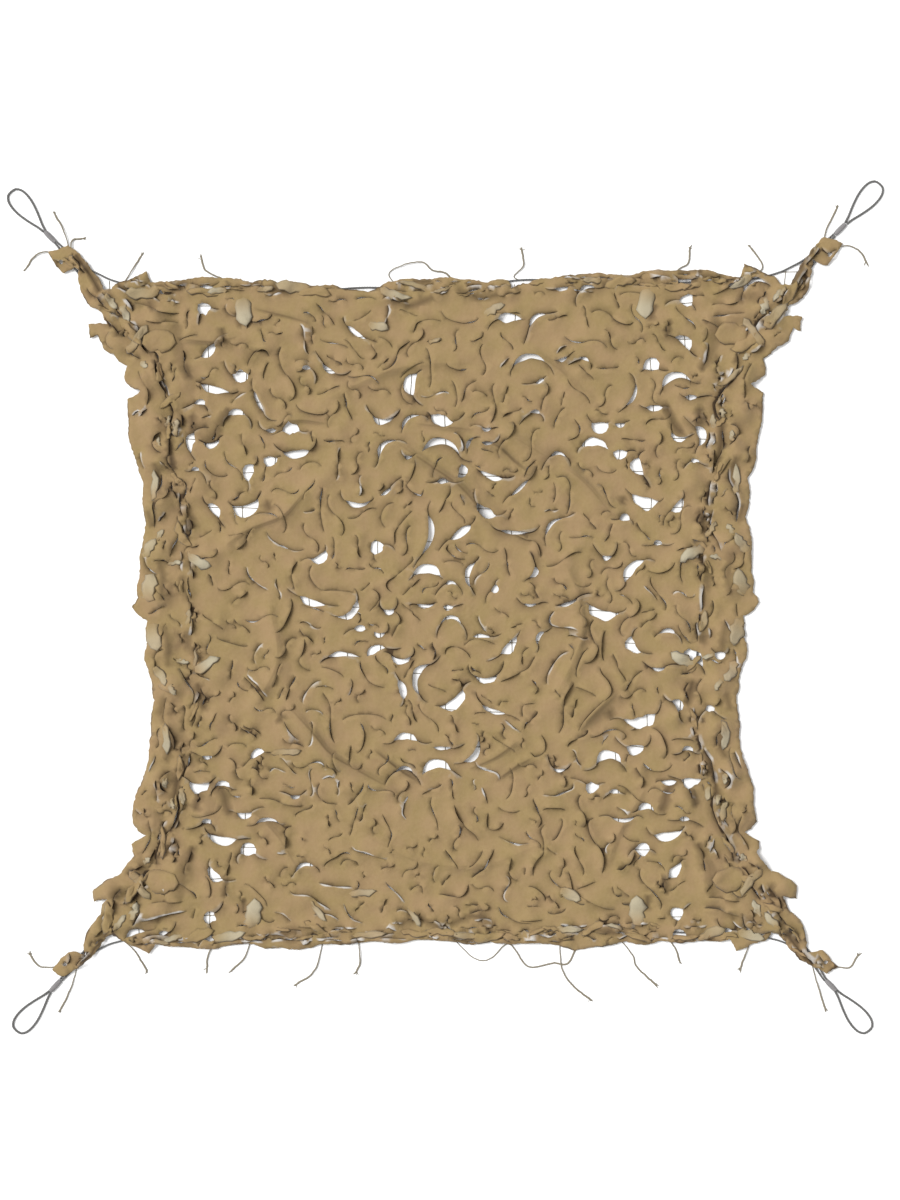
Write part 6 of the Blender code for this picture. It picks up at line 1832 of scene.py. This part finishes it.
class NETTING_OT_ropes(Operator):
    """Build the ropes along the edges and the loops at the corners"""

    bl_idname = "netting.ropes"
    bl_label = "Ropes and loops"

    def execute(self, context):
        settings = context.scene.netting_ropes
        tree = laid_rope_tree()
        edge = strand_material("edge_rope", settings.colour, settings.second_colour, 700.0, 0.85)
        for name, path in rope_paths(0.008).items():
            made = line_object(f"laid_{name}", [lifted(path, ROPE_HEIGHT)])
            grown(made, tree, diameter=settings.diameter, lay=settings.lay, step=0.0030,
                  groove=settings.groove, material=edge)
            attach(made, "root")
            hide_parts(name)
        loop = strand_material("loop_rope", settings.colour, settings.second_colour, 700.0, 0.85)
        for corner in CORNERS:
            width = settings.diameter * settings.fullness
            path = lifted(loop_path(corner), width / 2)
            made = line_object(f"laid_loop_{corner.name}", [path])
            grown(made, tree, diameter=width, lay=settings.lay, step=0.0017,
                  groove=settings.groove, material=loop)
            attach(made, "root")
            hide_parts(f"loop_{corner.name}")
        return {"FINISHED"}


class NETTING_OT_whippings(Operator):
    """Build the whippings that bind the ropes to the loops"""

    bl_idname = "netting.whippings"
    bl_label = "Whippings"

    def execute(self, context):
        settings = context.scene.netting_whippings
        tree = knotted_string_tree()
        finish = strand_material("whipping", settings.colour, settings.second_colour, 900.0, 0.8)
        for corner in CORNERS:
            turns = whipping_line(corner, settings)
            core = lifted(core_line(corner), settings.height / 2)
            fill = (settings.height - settings.string) / settings.string
            made = line_object(f"wound_whipping_{corner.name}", [turns, core],
                               [np.ones(len(turns)), np.full(len(core), fill)])
            grown(made, tree, diameter=settings.string, sides=8, material=finish)
            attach(made, "root")
            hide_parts(f"whipping_{corner.name}")
        return {"FINISHED"}


class NETTING_OT_stage(Operator):
    """Build the floor, the lights and the camera"""

    bl_idname = "netting.stage"
    bl_label = "Stage"

    def execute(self, context):
        settings = context.scene.netting_stage
        mesh = bpy.data.meshes.new("floor")
        half = 30.0
        mesh.from_pydata([(-half, -half, 0), (half, -half, 0), (half, half, 0), (-half, half, 0)],
                         [], [(0, 1, 2, 3)])
        mesh.materials.append(plain_material("floor", settings.floor_colour, 0.9))
        floor = shown("floor", mesh)
        world = bpy.data.worlds.new("studio")
        world.use_nodes = True
        sky = world.node_tree.nodes["Background"]
        sky.inputs["Color"].default_value = (1.0, 1.0, 1.0, 1.0)
        sky.inputs["Strength"].default_value = settings.sky
        context.scene.world = world
        light = bpy.data.lights.new("soft_lamp", "SUN")
        light.angle = settings.softness
        light.energy = settings.lamp
        lamp = shown("soft_lamp", light)
        lamp.location = (-3.6, 1.6, 5.2)
        aim = Vector((0.0, 0.0, 0.0)) - lamp.location
        lamp.rotation_euler = aim.to_track_quat("-Z", "Y").to_euler()
        camera = bpy.data.cameras.new("camera")
        camera.sensor_fit = "AUTO"
        camera.sensor_width = 36.0
        camera.lens = settings.lens
        camera.clip_end = 200.0
        eye = shown("camera", camera)
        distance = settings.picture_height * settings.lens / camera.sensor_width
        eye.location = (0.010, 0.0225, distance)
        context.scene.camera = eye
        context.scene.view_settings.view_transform = "Standard"
        return {"FINISHED"}


class NETTING_PT_pieces(Panel):
    """The netting's sizes, and a button for each group of pieces"""

    bl_label = "Netting"
    bl_idname = "NETTING_PT_pieces"
    bl_space_type = "VIEW_3D"
    bl_region_type = "UI"
    bl_category = "Netting"

    def draw(self, context):
        for attribute, operator in STEPS:
            box = self.layout.box()
            settings = getattr(context.scene, attribute)
            for key in settings.bl_rna.properties.keys():
                if key not in {"rna_type", "name"}:
                    box.prop(settings, key)
            box.operator(operator)


SETTINGS = {
    "netting_stage": StageSettings,
    "netting_cloth": NettingClothSettings,
    "netting_strings": NettingStringSettings,
    "netting_ropes": RopeSettings,
    "netting_whippings": WhippingSettings,
}
OPERATORS = (
    NETTING_OT_stage, NETTING_OT_cloth, NETTING_OT_net, NETTING_OT_ropes, NETTING_OT_whippings,
)
STEPS = tuple(zip(SETTINGS, (made.bl_idname for made in OPERATORS)))


def register():
    for made in (*SETTINGS.values(), *OPERATORS, NETTING_PT_pieces):
        bpy.utils.register_class(made)
    for attribute, made in SETTINGS.items():
        setattr(bpy.types.Scene, attribute, PointerProperty(type=made))


def unregister():
    for attribute in SETTINGS:
        delattr(bpy.types.Scene, attribute)
    for made in (NETTING_PT_pieces, *reversed(OPERATORS), *reversed(SETTINGS.values())):
        bpy.utils.unregister_class(made)


def main():
    register()
    bpy.ops.netting.stage()
    bpy.ops.netting.ropes()
    bpy.ops.netting.whippings()
    bpy.ops.netting.net()
    bpy.ops.netting.cloth()


if __name__ == "__main__":
    main()
